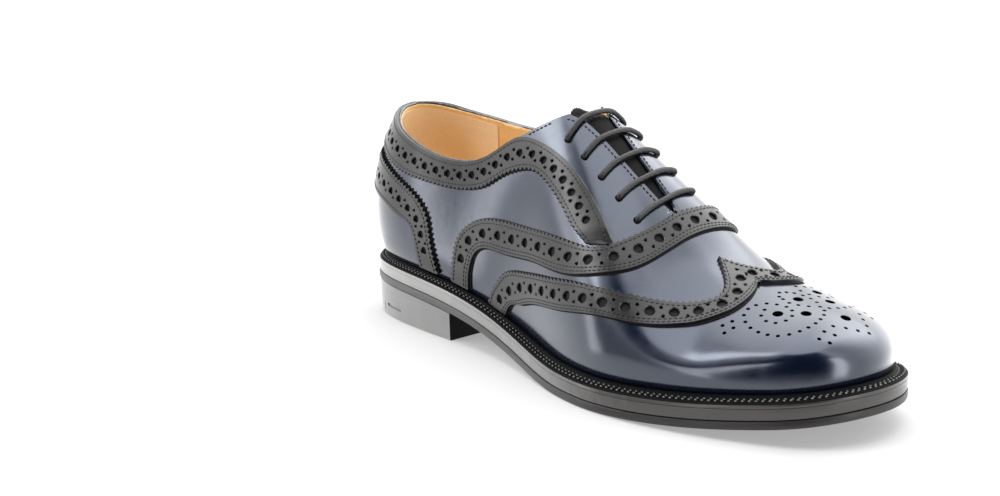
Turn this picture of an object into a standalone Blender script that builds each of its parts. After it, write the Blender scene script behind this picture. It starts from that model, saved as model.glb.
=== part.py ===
"""A right full-brogue oxford shoe with a welted sole, standing empty on a floor.

Sizes are millimetres. The heel is at x = 0 and the toe at x = LENGTH, the outer (lateral) side is at -Y,
and z = 0 is the floor. Everything is then shifted so that the origin lies under the middle of the shoe.
"""
import bmesh
import bpy
import numpy as np

MM = 0.001
MIDDLE = (136.7, -2.9)

# Sole
LENGTH = 275.0
HEEL_BACK = 16.8
HEEL_BREAST = 13.2
BREAST_X = 76.0
BALL_X = 160.0
SPRING_X = 172.0
TOE_SPRING = 11.5
# Slope of the underside at the heel's back, as a share of its mean slope, and at the heel's breast
SEAT_SLOPE = 0.6
BREAST_SLOPE = -0.14
OUTSOLE = 3.4
MIDSOLE = 4.2
WELT = 2.6
GAP = 0.3
MIDSOLE_LOW = OUTSOLE + GAP
WELT_LOW = MIDSOLE_LOW + MIDSOLE + GAP
STACK = WELT_LOW + WELT + GAP
MIDSOLE_INSET = 0.5
WELT_INSET = 0.3
WELT_REACH = 17.0
WELT_BEVEL = 0.7
HEEL_TAPER = 1.0
SOLE_COLUMNS = 40
HEEL_COLUMNS = 14

# Edge of the sole in plan: station, outer half width, inner half width
SOLE_EDGE = [
    (8, 19.5, 17.0), (25, 29.5, 26.5), (50, 33.4, 28.9), (75, 34.2, 28.0),
    (100, 35.2, 25.8), (125, 39.8, 26.2), (150, 47.2, 29.6), (175, 52.0, 35.6),
    (200, 49.8, 43.4), (225, 42.6, 46.2), (245, 34.0, 43.0), (262, 22.8, 36.2)]
TOE_Y = 9.0

# Top line of the last: x, y, z, squareness of the section outside and inside, lean to the inside
RIDGE = [
    (34, -0.5, 118.0, 1.90, 1.90, 0.00), (60, -0.8, 125.0, 1.90, 1.90, 0.00),
    (100, -0.6, 122.5, 1.90, 1.90, 0.00), (120, -0.5, 114.0, 1.90, 2.00, 0.01),
    (132, -0.5, 106.0, 1.95, 2.40, 0.03), (153, -0.9, 89.6, 2.00, 2.85, 0.14),
    (173, -0.8, 73.5, 2.10, 2.60, 0.22), (198, 2.0, 54.3, 2.35, 2.45, 0.17),
    (212, 4.7, 48.3, 4.00, 2.55, 0.15), (224, 6.5, 45.5, 4.30, 2.45, 0.10), (236, 7.6, 44.0, 2.50, 2.50, 0.05)]
# Foot of the upper: station, welt margin outer and inner, bulge outer and inner, its height outer and inner
FOOT = [
    (0, 5.6, 5.6, 6.4, 6.4, 25, 25), (40, 5.6, 5.6, 4.6, 4.2, 21, 23),
    (80, 6.0, 5.0, 2.0, 5.0, 15, 25), (115, 6.6, 4.6, 1.6, 7.6, 13, 27),
    (140, 6.9, 4.8, 2.0, 6.6, 12.5, 24), (165, 7.2, 5.8, 2.6, 4.4, 12, 18),
    (200, 7.4, 7.0, 3.0, 3.0, 12, 12.5), (235, 7.6, 6.8, 2.4, 2.4, 6.3, 11),
    (275, 7.4, 7.4, 1.6, 1.6, 5.1, 5.1)]
# Share of the rise that the tucked-in foot takes
TUCK = 0.22
# Collar: x, height outside, height inside
COLLAR = [
    (4, 99.6, 99.6), (15, 97.6, 98.4), (28, 92.0, 95.2), (46, 86.0, 92.4), (63, 82.3, 90.4),
    (80, 82.0, 89.8), (91, 84.8, 91.0), (100, 90.4, 94.0), (108, 95.4, 97.6), (119, 101.8, 103.2),
    (124, 104.6, 106.0), (130, 107.4, 108.6), (140, 112.0, 113.0), (280, 160.0, 160.0)]
# Throat: x, half the opening
THROAT = [
    (122.9, 0.0), (123.0, 10.5), (127.0, 9.8), (130.5, 8.4), (134.5, 6.7), (140.0, 5.6), (150.0, 4.4),
    (162.0, 3.1), (172.0, 1.8), (175.0, 1.0), (176.5, 0.0)]
WALL = 1.8
UPPER_COLUMNS = 27
TUCK_ROWS = 3
UPPER_ROWS = 10
# Extra columns where the facing's corner and the throat's end turn quickly, and the least distance to others
FACING_STATIONS = (105, 109, 113, 116.5, 119, 121.5, 124, 126.5, 129, 132, 136, 187, 190, 192.1)
COLUMN_CLEAR = 2.2

# Eyelets: five a side, as x of the first, pitch, distance from the throat's middle, hole
EYELETS = 5
EYELET_X = 132.5
EYELET_PITCH = 9.8
EYELET_OUT = 16.2
EYELET_HOLE = 2.0
LACE = 1.15
LACE_LIFT = 1.75
LACE_DEPTH = 3.5
LACE_STEP = 2.6
# Places along a bar as shares of the eyelet's distance, and the lower lift over the eyelets
LACE_BAR = (0.72, 0.4, 0, -0.4, -0.72)
LACE_AT_EYELET = 0.8 * LACE_LIFT

# Brogue bands: sections from end to middle as station and rise of one edge, station and rise of the other
BAND_LOW = 0.5
BAND_HIGH = 1.6
BAND_STEP = 5.2
BAND_ROWS = 2
WING_BAND = [
    (98.3, 0.085, 110.8, 0.085), (99.8, 0.14, 113.4, 0.146), (106, 0.24, 120, 0.203),
    (119, 0.30, 130, 0.243), (145, 0.375, 153, 0.305), (162, 0.443, 171, 0.362),
    (178, 0.51, 188, 0.430), (192, 0.59, 201, 0.505), (204, 0.654, 211.5, 0.580),
    (216, 0.730, 222, 0.668), (224, 0.810, 231.5, 0.794), (228, 0.885, 239, 0.922),
    (228, 0.946, 243.5, 0.985), (222, 1.0, 247.5, 1.0)]
VAMP_BAND = [
    (73.6, 0.085, 85.5, 0.085), (74.6, 0.14, 85.8, 0.14), (76, 0.22, 86.8, 0.205),
    (80.5, 0.296, 90, 0.262), (88, 0.342, 95, 0.290), (101.5, 0.384, 106, 0.311),
    (128.6, 0.443, 132, 0.366), (155, 0.541, 153.5, 0.428), (171, 0.634, 170.3, 0.516),
    (181, 0.757, 184, 0.635), (189.7, 0.900, 196.5, 0.810), (194.5, 1.0, 207.5, 1.0)]
COUNTER_BAND = [
    (66.3, 0.085, 53, 0.085), (64.5, 0.15, 52, 0.13), (61.2, 0.249, 50.6, 0.185),
    (59, 0.292, 47.3, 0.230), (53.2, 0.326, 40, 0.245), (41.6, 0.358, 30, 0.264),
    (30, 0.388, 20, 0.283), (18, 0.426, 12, 0.297), (6, 0.462, 4, 0.311), (0, 0.478, 0, 0.317)]
# The facing part of the collar band, then its collar part as station and width below the collar
FACING_BAND = [
    (172, 0.690, 157.5, 0.575), (165, 0.709, 151.5, 0.572), (152, 0.720, 143.5, 0.581),
    (141, 0.713, 134.5, 0.584), (131, 0.694, 127.5, 0.583), (122, 0.674, 122, 0.577),
    (112, 0.650, 116, 0.560)]
COLLAR_BAND = [
    (102, 0.105), (92, 0.092), (80, 0.080), (67, 0.080), (53, 0.090), (38, 0.110), (22, 0.124),
    (7, 0.136), (0, 0.14)]
COLLAR_REVEAL = 0.012

# Tongue: stations of its ends and of the climb to its seat under the vamp, rise of its sides, thickness
TONGUE_TOP = 122.0
TONGUE_CORNER = 4.0
TONGUE_CLIMB = 191.0
TONGUE_SEAT = 206.0
TONGUE_FRONT = 216.0
TONGUE_SIDE = 0.70
TONGUE = 1.6
TONGUE_CLEAR = 1.3
TONGUE_COLUMNS = 18
TONGUE_ROWS = 10
INSOLE = 2.4
INSOLE_CLEAR = 0.7


def spline(knots, values, loop=False):
    """A twice smooth curve through the values, with natural ends or as a closed loop."""
    k = np.asarray(knots, float)
    v = np.asarray(values, float)
    n = len(k)
    h = np.diff(k)
    column = (-1,) + (1,) * (v.ndim - 1)
    rate = np.diff(v, axis=0) / h.reshape(column)
    m = np.zeros((n, n))
    r = np.zeros(v.shape)
    for i in range(1, n - 1):
        m[i, i - 1:i + 2] = h[i - 1], 2 * (h[i - 1] + h[i]), h[i]
        r[i] = 6 * (rate[i] - rate[i - 1])
    if loop:
        m[0, 0], m[0, 1], m[0, -2] = 2 * (h[0] + h[-1]), h[0], h[-1]
        r[0] = 6 * (rate[0] - rate[-1])
        m[-1, 0], m[-1, -1] = 1, -1
    else:
        m[0, 0] = m[-1, -1] = 1
    c = np.linalg.solve(m, r.reshape(n, -1)).reshape(v.shape)

    def at(x):
        x = np.asarray(x, float)
        i = np.clip(np.searchsorted(k, x, side="right") - 1, 0, n - 2)
        shape = x.shape + (1,) * (v.ndim - 1)
        a = (k[i + 1] - x).reshape(shape)
        b = (x - k[i]).reshape(shape)
        w = h[i].reshape(shape)
        bend = (c[i] * a**3 + c[i + 1] * b**3) / (6 * w)
        return bend + (v[i] / w - c[i] * w / 6) * a + (v[i + 1] / w - c[i + 1] * w / 6) * b
    return at


def smooth(rows):
    """A table made smooth: its first column against the others, held at the ends."""
    rows = np.array(rows, float)
    at = spline(rows[:, 0], rows[:, 1:])
    return lambda x: at(np.clip(x, rows[0, 0], rows[-1, 0]))


def lengths(points):
    """Distance along a line of points."""
    return np.concatenate([[0], np.cumsum(np.linalg.norm(np.diff(points, axis=0), axis=1))])


def through(points, step):
    """Points about step apart on a smooth curve through the given points."""
    points = np.asarray(points, float)
    knots = np.concatenate([[0], np.cumsum(np.sqrt(np.linalg.norm(np.diff(points, axis=0), axis=1)))])
    fine = spline(knots, points)(np.linspace(0, knots[-1], 40 * len(points)))
    way = lengths(fine)
    even = np.linspace(0, way[-1], int(round(way[-1] / step)) + 1)
    return np.column_stack([np.interp(even, way, fine[:, k]) for k in range(3)])


def ease(t, start, end, start_rate, end_rate):
    """A cubic from start to end with the given rates at t = 0 and t = 1."""
    ends = start * (2 * t**3 - 3 * t**2 + 1) + end * (3 * t**2 - 2 * t**3)
    return ends + start_rate * (t**3 - 2 * t**2 + t) + end_rate * (t**3 - t**2)


def underside(x):
    """Height of the outsole's underside: heel seat, waist, flat ball, toe spring."""
    x = np.asarray(x, float)
    seat = SEAT_SLOPE * (HEEL_BREAST - HEEL_BACK)
    reach = BALL_X - BREAST_X
    heel = ease(np.clip(x / BREAST_X, 0, 1), HEEL_BACK, HEEL_BREAST, seat, BREAST_SLOPE * BREAST_X)
    waist = ease(np.clip((x - BREAST_X) / reach, 0, 1), HEEL_BREAST, 0, BREAST_SLOPE * reach, 0)
    lift = np.clip((x - SPRING_X) / (LENGTH - SPRING_X), 0, None)
    return np.where(x < BREAST_X, heel, waist) + TOE_SPRING * lift**2


def edge_loop():
    """The sole's edge as a closed curve: heel, outer side, toe, inner side."""
    outer = [(x, -out) for x, out, inn in SOLE_EDGE]
    inner = [(x, inn) for x, out, inn in reversed(SOLE_EDGE)]
    points = np.array([(0, 0)] + outer + [(LENGTH, TOE_Y)] + inner + [(0, 0)], float)
    steps = np.sqrt(np.linalg.norm(np.diff(points, axis=0), axis=1))
    knots = np.concatenate([[0], np.cumsum(steps)])
    return spline(knots, points, True), knots[-1]


def edge_stations():
    """Stations along the sole against places on its edge, from rearmost to foremost point, by each side."""
    t = np.linspace(0, EDGE_END, 8001)
    t = t + t[np.argmin(EDGE(t)[:-1, 0])]
    x = EDGE(t % EDGE_END)[:, 0]
    x = (x - x.min()) * LENGTH / (x.max() - x.min())
    toe = np.argmax(x)
    return (x[:toe + 1], t[:toe + 1]), (x[toe:][::-1], t[toe:][::-1])


EDGE, EDGE_END = edge_loop()
OUTER_EDGE, INNER_EDGE = edge_stations()
ridge_at = smooth(RIDGE)
foot_at = smooth(FOOT)
collar_at = smooth(COLLAR)


def station(v):
    """Station along the sole of column v: 0 heel, +1 toe by the outer side, -1 toe by the inner side."""
    return LENGTH * (1 - np.cos(np.pi * np.abs(v))) / 2


def column(x):
    """The outer column at station x."""
    return np.arccos(1 - 2 * np.asarray(x, float) / LENGTH) / np.pi


def edge_at(v):
    """Sole edge and its outward direction at column v."""
    x = station(v)
    t = np.where(v >= 0, np.interp(x, *OUTER_EDGE), np.interp(x, *INNER_EDGE))
    d = EDGE((t + 0.01) % EDGE_END) - EDGE((t - 0.01) % EDGE_END)
    d = d / np.linalg.norm(d, axis=-1, keepdims=True)
    return EDGE(t % EDGE_END), np.stack([d[..., 1], -d[..., 0]], -1)


def last(v, w):
    """The last's surface at column v and rise w, from the feather line (0) to the top line (1)."""
    v, w = np.broadcast_arrays(np.asarray(v, float), np.asarray(w, float))
    x = station(v)
    edge, out = edge_at(v)
    margin_out, margin_in, bulge_out, bulge_in, rise_out, rise_in = np.moveaxis(foot_at(x), -1, 0)
    margin = np.where(v >= 0, margin_out, margin_in)
    bulge = np.where(v >= 0, bulge_out, bulge_in)
    rise = np.where(v >= 0, rise_out, rise_in)
    top_x = RIDGE[0][0] + x * (RIDGE[-1][0] - RIDGE[0][0]) / LENGTH
    top_y, top_z, square_out, square_in, lean = np.moveaxis(ridge_at(top_x), -1, 0)
    inside = np.clip(top_x, RIDGE[0][0] + 0.5, RIDGE[-1][0] - 0.5)
    slope = ridge_at(inside + 0.5)[..., 1] - ridge_at(inside - 0.5)[..., 1]
    power = 2 / np.where(v >= 0, square_out, square_in)
    foot = edge - out * margin[..., None]
    foot_z = underside(foot[..., 0]) + STACK
    low = np.clip(w / TUCK, 0, 1) * np.pi / 2
    high = np.clip((w - TUCK) / (1 - TUCK), 0, 1) * np.pi / 2
    inward = np.cos(high)**power
    upward = np.sin(high)**power
    top = np.stack([top_x, top_y], -1)
    tucked = foot + out * (bulge * np.sin(low))[..., None]
    arched = top + (foot + out * bulge[..., None] - top) * inward[..., None]
    xy = np.where((w < TUCK)[..., None], tucked, arched)
    tilt = slope * (xy[..., 0] - top_x) + lean * (xy[..., 1] - top_y)
    arch_z = foot_z + rise + (top_z - foot_z - rise + tilt) * upward
    z = np.where(w < TUCK, foot_z + rise * (1 - np.cos(low)), arch_z)
    return np.concatenate([xy, z[..., None]], -1)


def around(v):
    """Columns run past the toe on to the other side."""
    return (np.asarray(v, float) + 1) % 2 - 1


def normal(v, w):
    """Outward direction of the last's surface; on the top line the mean of both sides."""
    v, w = np.broadcast_arrays(np.asarray(v, float), np.asarray(w, float))
    e = 1e-3

    def one_side(v):
        along = last(around(v + e), w) - last(around(v - e), w)
        upward = last(v, np.clip(w + e, 0, 1)) - last(v, np.clip(w - e, 0, 1))
        n = np.cross(along, upward)
        return n / np.linalg.norm(n, axis=-1, keepdims=True)
    n = one_side(v)
    n = np.where((w > 1 - e)[..., None], n + one_side(-v), n)
    return n / np.linalg.norm(n, axis=-1, keepdims=True)


def shell(v, w, offset):
    """The last's surface moved outward by offset."""
    return last(v, w) + normal(v, w) * np.asarray(offset, float)[..., None]


def trim(v):
    """Rise of the upper's top edge in column v: the collar, the facing's edge or the top line."""
    w = np.linspace(0.3, 1, 1401)
    throat = np.array(THROAT)
    rises = []
    for one in np.atleast_1d(v):
        p = last(np.full_like(w, one), w)
        beside = np.abs(p[:, 1] - ridge_at(p[:, 0])[:, 0])
        over = p[:, 2] > collar_at(p[:, 0])[:, 0 if one >= 0 else 1]
        over |= beside < np.interp(p[:, 0], throat[:, 0], throat[:, 1])
        rises.append(w[np.argmax(over)] if over.any() else 1.0)
    return np.array(rises)


def spot(x, beside):
    """Column and rise of the point at x that lies beside the top line, outer side positive."""
    side = 1 if beside >= 0 else -1
    w = np.linspace(0.4, 1, 1201)
    s = (x - RIDGE[0][0]) * LENGTH / (RIDGE[-1][0] - RIDGE[0][0])
    for _ in range(6):
        v = side * column(s)
        p = last(np.full_like(w, v), w)
        i = np.argmin(np.abs(np.abs(p[:, 1] - ridge_at(p[:, 0])[:, 0]) - abs(beside)))
        s += x - p[i, 0]
    return v, w[i]


def material(name, colour, roughness):
    m = bpy.data.materials.new(name)
    m.use_nodes = True
    shader = m.node_tree.nodes["Principled BSDF"]
    shader.inputs["Base Color"].default_value = (*colour, 1)
    shader.inputs["Roughness"].default_value = roughness
    shader.inputs["Metallic"].default_value = 0
    return m


def add_mesh(name, points, faces, surface):
    """One closed solid from points in millimetres, with doubled points merged."""
    shift = np.array([MIDDLE[0], MIDDLE[1], 0])
    mesh = bpy.data.meshes.new(name)
    mesh.from_pydata([tuple(p) for p in (np.asarray(points) - shift) * MM], [], faces)
    bm = bmesh.new()
    bm.from_mesh(mesh)
    bmesh.ops.remove_doubles(bm, verts=bm.verts, dist=0.00002)
    bmesh.ops.dissolve_degenerate(bm, edges=bm.edges, dist=0.00001)
    bmesh.ops.triangulate(bm, faces=bm.faces)
    bmesh.ops.recalc_face_normals(bm, faces=bm.faces)
    bm.to_mesh(mesh)
    bm.free()
    mesh.materials.append(surface)
    obj = bpy.data.objects.new(name, mesh)
    bpy.context.scene.collection.objects.link(obj)
    return obj


def grid_faces(rows, columns, start, flip):
    """Quads of a grid of points whose first index is start."""
    faces = []
    for i in range(rows - 1):
        for j in range(columns - 1):
            a = start + i * columns + j
            quad = (a, a + 1, a + columns + 1, a + columns)
            faces.append(quad[::-1] if flip else quad)
    return faces


def sheet(name, outer, inner, surface):
    """A closed solid between two grids of the same size."""
    rows, columns = outer.shape[:2]
    points = np.concatenate([outer.reshape(-1, 3), inner.reshape(-1, 3)])
    half = rows * columns
    faces = grid_faces(rows, columns, 0, False) + grid_faces(rows, columns, half, True)
    rim = [j for j in range(columns)]
    rim += [i * columns + columns - 1 for i in range(1, rows)]
    rim += [(rows - 1) * columns + j for j in range(columns - 2, -1, -1)]
    rim += [i * columns for i in range(rows - 2, 0, -1)]
    for a, b in zip(rim, rim[1:] + rim[:1]):
        faces.append((b, a, a + half, b + half))
    return add_mesh(name, points, faces, surface)


def plate(name, low, high, inset, surface):
    """A layer of the sole from low to high above the underside, with its edge moved in."""
    v = np.linspace(0, 1, SOLE_COLUMNS + 1)
    sides = []
    for side in (v, -v):
        edge, out = edge_at(side)
        sides.append(edge - out * np.reshape(inset(station(v)), (-1, 1)))
    xy = np.stack(sides, 1)
    z = underside(xy[..., 0])[..., None]
    return sheet(name, np.concatenate([xy, z + high], -1), np.concatenate([xy, z + low], -1), surface)


def build_welt(surface):
    """The welt: a strip around the edge that carries the upper and the insole."""
    v = np.concatenate([np.linspace(0, 1, SOLE_COLUMNS, False), np.linspace(-1, 0, SOLE_COLUMNS, False)])
    edge, out = edge_at(v)
    top = WELT_LOW + WELT
    profile = [
        (WELT_INSET, WELT_LOW), (WELT_INSET, top - WELT_BEVEL), (WELT_INSET + WELT_BEVEL, top),
        (WELT_REACH, top), (WELT_REACH, WELT_LOW)]
    rings = []
    for inset, height in profile:
        xy = edge - out * inset
        rings.append(np.column_stack([xy, underside(xy[:, 0]) + height]))
    points = np.concatenate(rings)
    n = len(v)
    faces = []
    for k in range(len(profile)):
        low = k * n
        high = (k + 1) % len(profile) * n
        for i in range(n):
            m = (i + 1) % n
            faces.append((low + i, low + m, high + m, high + i))
    return add_mesh("welt", points, faces, surface)


def build_heel(surface):
    """The heel block: flat on the floor, its top following the outsole."""
    v = np.linspace(0, column(BREAST_X), HEEL_COLUMNS + 1)
    layers = []
    for inset, top in ((MIDSOLE_INSET, True), (HEEL_TAPER, False)):
        sides = []
        for side in (v, -v):
            edge, out = edge_at(side)
            xy = edge - out * inset
            xy[:, 0] = np.minimum(xy[:, 0], BREAST_X)
            z = underside(xy[:, 0]) - GAP if top else np.zeros(len(v))
            sides.append(np.column_stack([xy, z]))
        layers.append(np.stack(sides, 1))
    return sheet("heel_block", layers[0], layers[1], surface)


def upper_columns():
    """Columns of the upper by the outer side, closer where its edge turns."""
    fixed = column(np.array(FACING_STATIONS))
    v = np.sort(np.concatenate([np.linspace(0, 1, UPPER_COLUMNS + 1), fixed]))
    kept = [v[0]]
    for one in v[1:]:
        near = abs(station(one) - station(kept[-1])) < COLUMN_CLEAR and 0.05 < one < 0.95
        if not near:
            kept.append(one)
        elif np.min(np.abs(fixed - one)) < 1e-9:
            kept[-1] = one
    return np.array(kept)


def build_upper(surface):
    """The upper: one wall, open at the collar, the throat and underneath."""
    half = upper_columns()
    v = np.concatenate([-half[::-1], half[1:]])
    top = trim(v)
    tuck = np.linspace(0, 1, TUCK_ROWS, False) * TUCK
    rise = np.linspace(0, 1, UPPER_ROWS - TUCK_ROWS + 1)
    w = np.concatenate([np.repeat(tuck[None], len(v), 0), TUCK + rise * (top[:, None] - TUCK)], 1)
    vv = np.repeat(v[:, None], w.shape[1], 1)
    outer = last(vv, w)
    inner = shell(vv, w, np.full(w.shape, -WALL))
    edge, out = edge_at(v)
    inner[:, 0, :2] = outer[:, 0, :2] - out * WALL
    inner[:, 0, 2] = outer[:, 0, 2]
    columns, rows = w.shape
    points = np.concatenate([outer.reshape(-1, 3), inner.reshape(-1, 3)])
    start = columns * rows
    faces = grid_faces(columns, rows, 0, False) + grid_faces(columns, rows, start, True)
    for i in range(columns - 1):
        low, high = i * rows, (i + 1) * rows
        faces.append((low, high, high + start, low + start))
        if min(top[i], top[i + 1]) < 1:
            low += rows - 1
            high += rows - 1
            faces.append((high, low, low + start, high + start))
    upper = add_mesh("upper", points, faces, surface)
    cut = upper.modifiers.new("eyelets", "BOOLEAN")
    cut.operation = "DIFFERENCE"
    cut.solver = "EXACT"
    cut.object = build_punch()
    return upper


def eyelets():
    """Place and outward direction of the eyelets: a list of (outer, inner) pairs from the top."""
    pairs = []
    for k in range(EYELETS):
        pair = []
        for side in (1, -1):
            v, w = spot(EYELET_X + k * EYELET_PITCH, side * EYELET_OUT)
            pair.append((last(v, w), normal(v, w)))
        pairs.append(pair)
    return pairs


def build_punch():
    """The eyelet holes' cutter."""
    sides = 10
    reach = 3 * WALL
    points = []
    faces = []
    for place, out in [one for pair in eyelets() for one in pair]:
        across = np.cross(out, (0, 0, 1))
        across /= np.linalg.norm(across)
        up = np.cross(out, across)
        start = len(points)
        for end in (-reach, reach):
            for k in range(sides):
                a = 2 * np.pi * k / sides
                points.append(place + out * end + EYELET_HOLE * (across * np.cos(a) + up * np.sin(a)))
        for k in range(sides):
            m = (k + 1) % sides
            faces.append((start + k, start + m, start + sides + m, start + sides + k))
        faces.append(tuple(start + k for k in reversed(range(sides))))
        faces.append(tuple(start + sides + k for k in range(sides)))
    punch = add_mesh("eyelet_punch", points, faces, bpy.data.materials["navy leather"])
    punch.hide_render = True
    punch.display_type = "WIRE"
    return punch


def lace_route():
    """The lace: five bars over the throat, joined by runs under the facings, ending at the top inside."""
    pairs = eyelets()
    route = []
    for k in range(EYELETS):
        order = (0, 1) if k % 2 == 0 else (1, 0)
        x = EYELET_X + k * EYELET_PITCH
        first, second = pairs[k][order[0]], pairs[k][order[1]]
        route += [first[0] - first[1] * LACE_DEPTH, first[0], first[0] + first[1] * LACE_AT_EYELET]
        start = 1 if order[0] == 0 else -1
        for share in LACE_BAR:
            v, w = spot(x, start * share * EYELET_OUT)
            route.append(shell(v, w, LACE_LIFT))
        route += [second[0] + second[1] * LACE_AT_EYELET, second[0], second[0] - second[1] * LACE_DEPTH]
        if k < EYELETS - 1:
            v, w = spot(x + EYELET_PITCH / 2, -start * EYELET_OUT)
            route.append(shell(v, w, -LACE_DEPTH))
    return route


def build_laces(surface):
    data = bpy.data.curves.new("laces", "CURVE")
    data.dimensions = "3D"
    data.bevel_depth = LACE * MM
    data.bevel_resolution = 2
    data.use_fill_caps = True
    points = through(lace_route(), LACE_STEP)
    line = data.splines.new("POLY")
    line.points.add(len(points) - 1)
    for p, at in zip(line.points, points):
        p.co = ((at[0] - MIDDLE[0]) * MM, (at[1] - MIDDLE[1]) * MM, at[2] * MM, 1)
    data.materials.append(surface)
    obj = bpy.data.objects.new("laces", data)
    bpy.context.scene.collection.objects.link(obj)
    return obj


def across_to(v, w):
    """Rise on the inner side at the same share of the way from feather line to top line."""
    grid = np.linspace(0, 1, 161)
    rises = np.empty(v.shape)
    for place in np.ndindex(v.shape):
        shares = []
        for side in (1, -1):
            p = last(np.full_like(grid, side * v[place]), grid)
            way = lengths(p)
            shares.append(way / way[-1])
        rises[place] = np.interp(np.interp(w[place], grid, shares[0]), shares[1], grid)
    return rises


def strip(sections):
    """Columns and rises of a band's grid through its sections, evenly spaced along it."""
    rows = np.array(sections, float)
    flat = np.column_stack([column(rows[:, 0]), rows[:, 1], column(rows[:, 2]), rows[:, 3]])
    middle = last((flat[:, 0] + flat[:, 2]) / 2, (flat[:, 1] + flat[:, 3]) / 2)
    knots = lengths(middle)
    line = spline(knots, flat)(np.linspace(0, knots[-1], int(round(knots[-1] / BAND_STEP)) + 1))
    across = np.linspace(0, 1, BAND_ROWS + 1)
    v = line[:, :1] + (line[:, 2:3] - line[:, :1]) * across
    w = line[:, 1:2] + (line[:, 3:4] - line[:, 1:2]) * across
    return np.clip(v, 0, 1), np.clip(w, 0, 1)


def overlay(name, outer_half, inner_half, surface):
    """A raised piece on the upper from its outer half and its inner half, joined at their last section."""
    v = np.concatenate([outer_half[0], -inner_half[0][-2::-1]])
    w = np.concatenate([outer_half[1], inner_half[1][-2::-1]])
    top = shell(v, w, np.full(v.shape, BAND_HIGH))
    return sheet(name, top, shell(v, w, np.full(v.shape, BAND_LOW)), surface)


def build_band(name, sections, surface):
    """A brogue band, the same on both sides."""
    v, w = strip(sections)
    return overlay(name, (v, w), (v, across_to(v, w)), surface)


def build_collar_band(surface):
    """The band that runs around the collar and down both facings."""
    facing = np.array(FACING_BAND, float)
    inner = facing.copy()
    for k in (0, 2):
        inner[:, k + 1] = across_to(column(facing[:, k]), facing[:, k + 1])
    halves = []
    for side, rows in ((1, facing), (-1, inner)):
        collar = []
        for s, width in COLLAR_BAND:
            edge = trim(side * column(s))[0] - COLLAR_REVEAL
            collar.append((s, edge, s, edge - width))
        halves.append(strip(list(rows) + collar))
    return overlay("collar_band", halves[0], halves[1], surface)


def build_tongue(surface):
    """The tongue: a sheet under the facings and the lace, seated under the vamp at its front end."""
    t = np.linspace(0, 1, TONGUE_COLUMNS + 1)[:, None]
    u = np.linspace(-1, 1, TONGUE_ROWS + 1)[None]
    s = TONGUE_TOP + TONGUE_CORNER * u**2 + t * (TONGUE_FRONT - TONGUE_TOP - TONGUE_CORNER * u**2)
    v = np.where(u < 0, -1, 1) * column(s)
    w = np.broadcast_to(1 - (1 - TONGUE_SIDE) * np.abs(u), v.shape)
    under_lace = LACE_DEPTH + LACE + TONGUE_CLEAR
    under_vamp = WALL + 2 * GAP
    climb = np.clip((s - TONGUE_CLIMB) / (TONGUE_SEAT - TONGUE_CLIMB), 0, 1)
    depth = under_lace + (under_vamp - under_lace) * climb**2 * (3 - 2 * climb)
    return sheet("tongue", shell(v, w, -depth), shell(v, w, -depth - TONGUE), surface)


def foot_inset(x):
    """How far in from the sole's edge the insole's edge lies."""
    return np.max(foot_at(x)[..., :2], axis=-1) + WALL + INSOLE_CLEAR


def build_shoe():
    for obj in list(bpy.data.objects):
        bpy.data.objects.remove(obj)
    navy = material("navy leather", (0.012, 0.02, 0.05), 0.25)
    charcoal = material("charcoal leather", (0.03, 0.03, 0.034), 0.35)
    tan = material("tan lining", (0.55, 0.28, 0.11), 0.6)
    black = material("black sole", (0.03, 0.027, 0.025), 0.35)
    rubber = material("black rubber", (0.02, 0.02, 0.02), 0.6)
    cord = material("waxed cord", (0.015, 0.015, 0.017), 0.5)
    plate("outsole", 0, OUTSOLE, np.zeros_like, rubber)
    plate("midsole", MIDSOLE_LOW, MIDSOLE_LOW + MIDSOLE, lambda x: np.full_like(x, MIDSOLE_INSET), black)
    build_welt(black)
    build_heel(black)
    build_upper(navy)
    plate("insole", STACK, STACK + INSOLE, foot_inset, tan)
    build_tongue(navy)
    build_laces(cord)
    build_band("wing_band", WING_BAND, charcoal)
    build_band("vamp_band", VAMP_BAND, charcoal)
    build_band("counter_band", COUNTER_BAND, charcoal)
    build_collar_band(charcoal)


build_shoe()
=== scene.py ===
"""Looks of a right full brogue oxford: polished leather, brogue bands, lace, lining and a welted sole.

Sizes are millimetres in the shoe's own frame, as in the part's source: the heel at x = 0, the toe along +X,
the outer side at -Y, the floor at z = 0. A mesh is shifted and scaled to the frame when it is made.
"""

import math

import bmesh
import bpy
import numpy as np
from mathutils import Matrix
from mathutils.geometry import delaunay_2d_cdt


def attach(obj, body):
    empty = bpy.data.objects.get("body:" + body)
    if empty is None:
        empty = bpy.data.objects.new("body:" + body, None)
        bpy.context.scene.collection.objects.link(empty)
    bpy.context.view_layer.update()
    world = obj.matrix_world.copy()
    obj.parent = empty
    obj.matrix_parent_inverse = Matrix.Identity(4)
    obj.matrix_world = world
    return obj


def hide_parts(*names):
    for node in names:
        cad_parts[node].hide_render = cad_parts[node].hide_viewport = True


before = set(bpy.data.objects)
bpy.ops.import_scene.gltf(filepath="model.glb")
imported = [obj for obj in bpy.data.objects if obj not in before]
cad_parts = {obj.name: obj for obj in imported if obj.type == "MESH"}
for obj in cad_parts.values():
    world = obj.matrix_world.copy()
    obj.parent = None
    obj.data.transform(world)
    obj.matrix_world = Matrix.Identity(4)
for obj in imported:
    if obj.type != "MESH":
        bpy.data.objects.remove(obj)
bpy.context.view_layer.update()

MM = 0.001
SHIFT = np.array([136.7, -2.9, 0.0])

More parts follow.
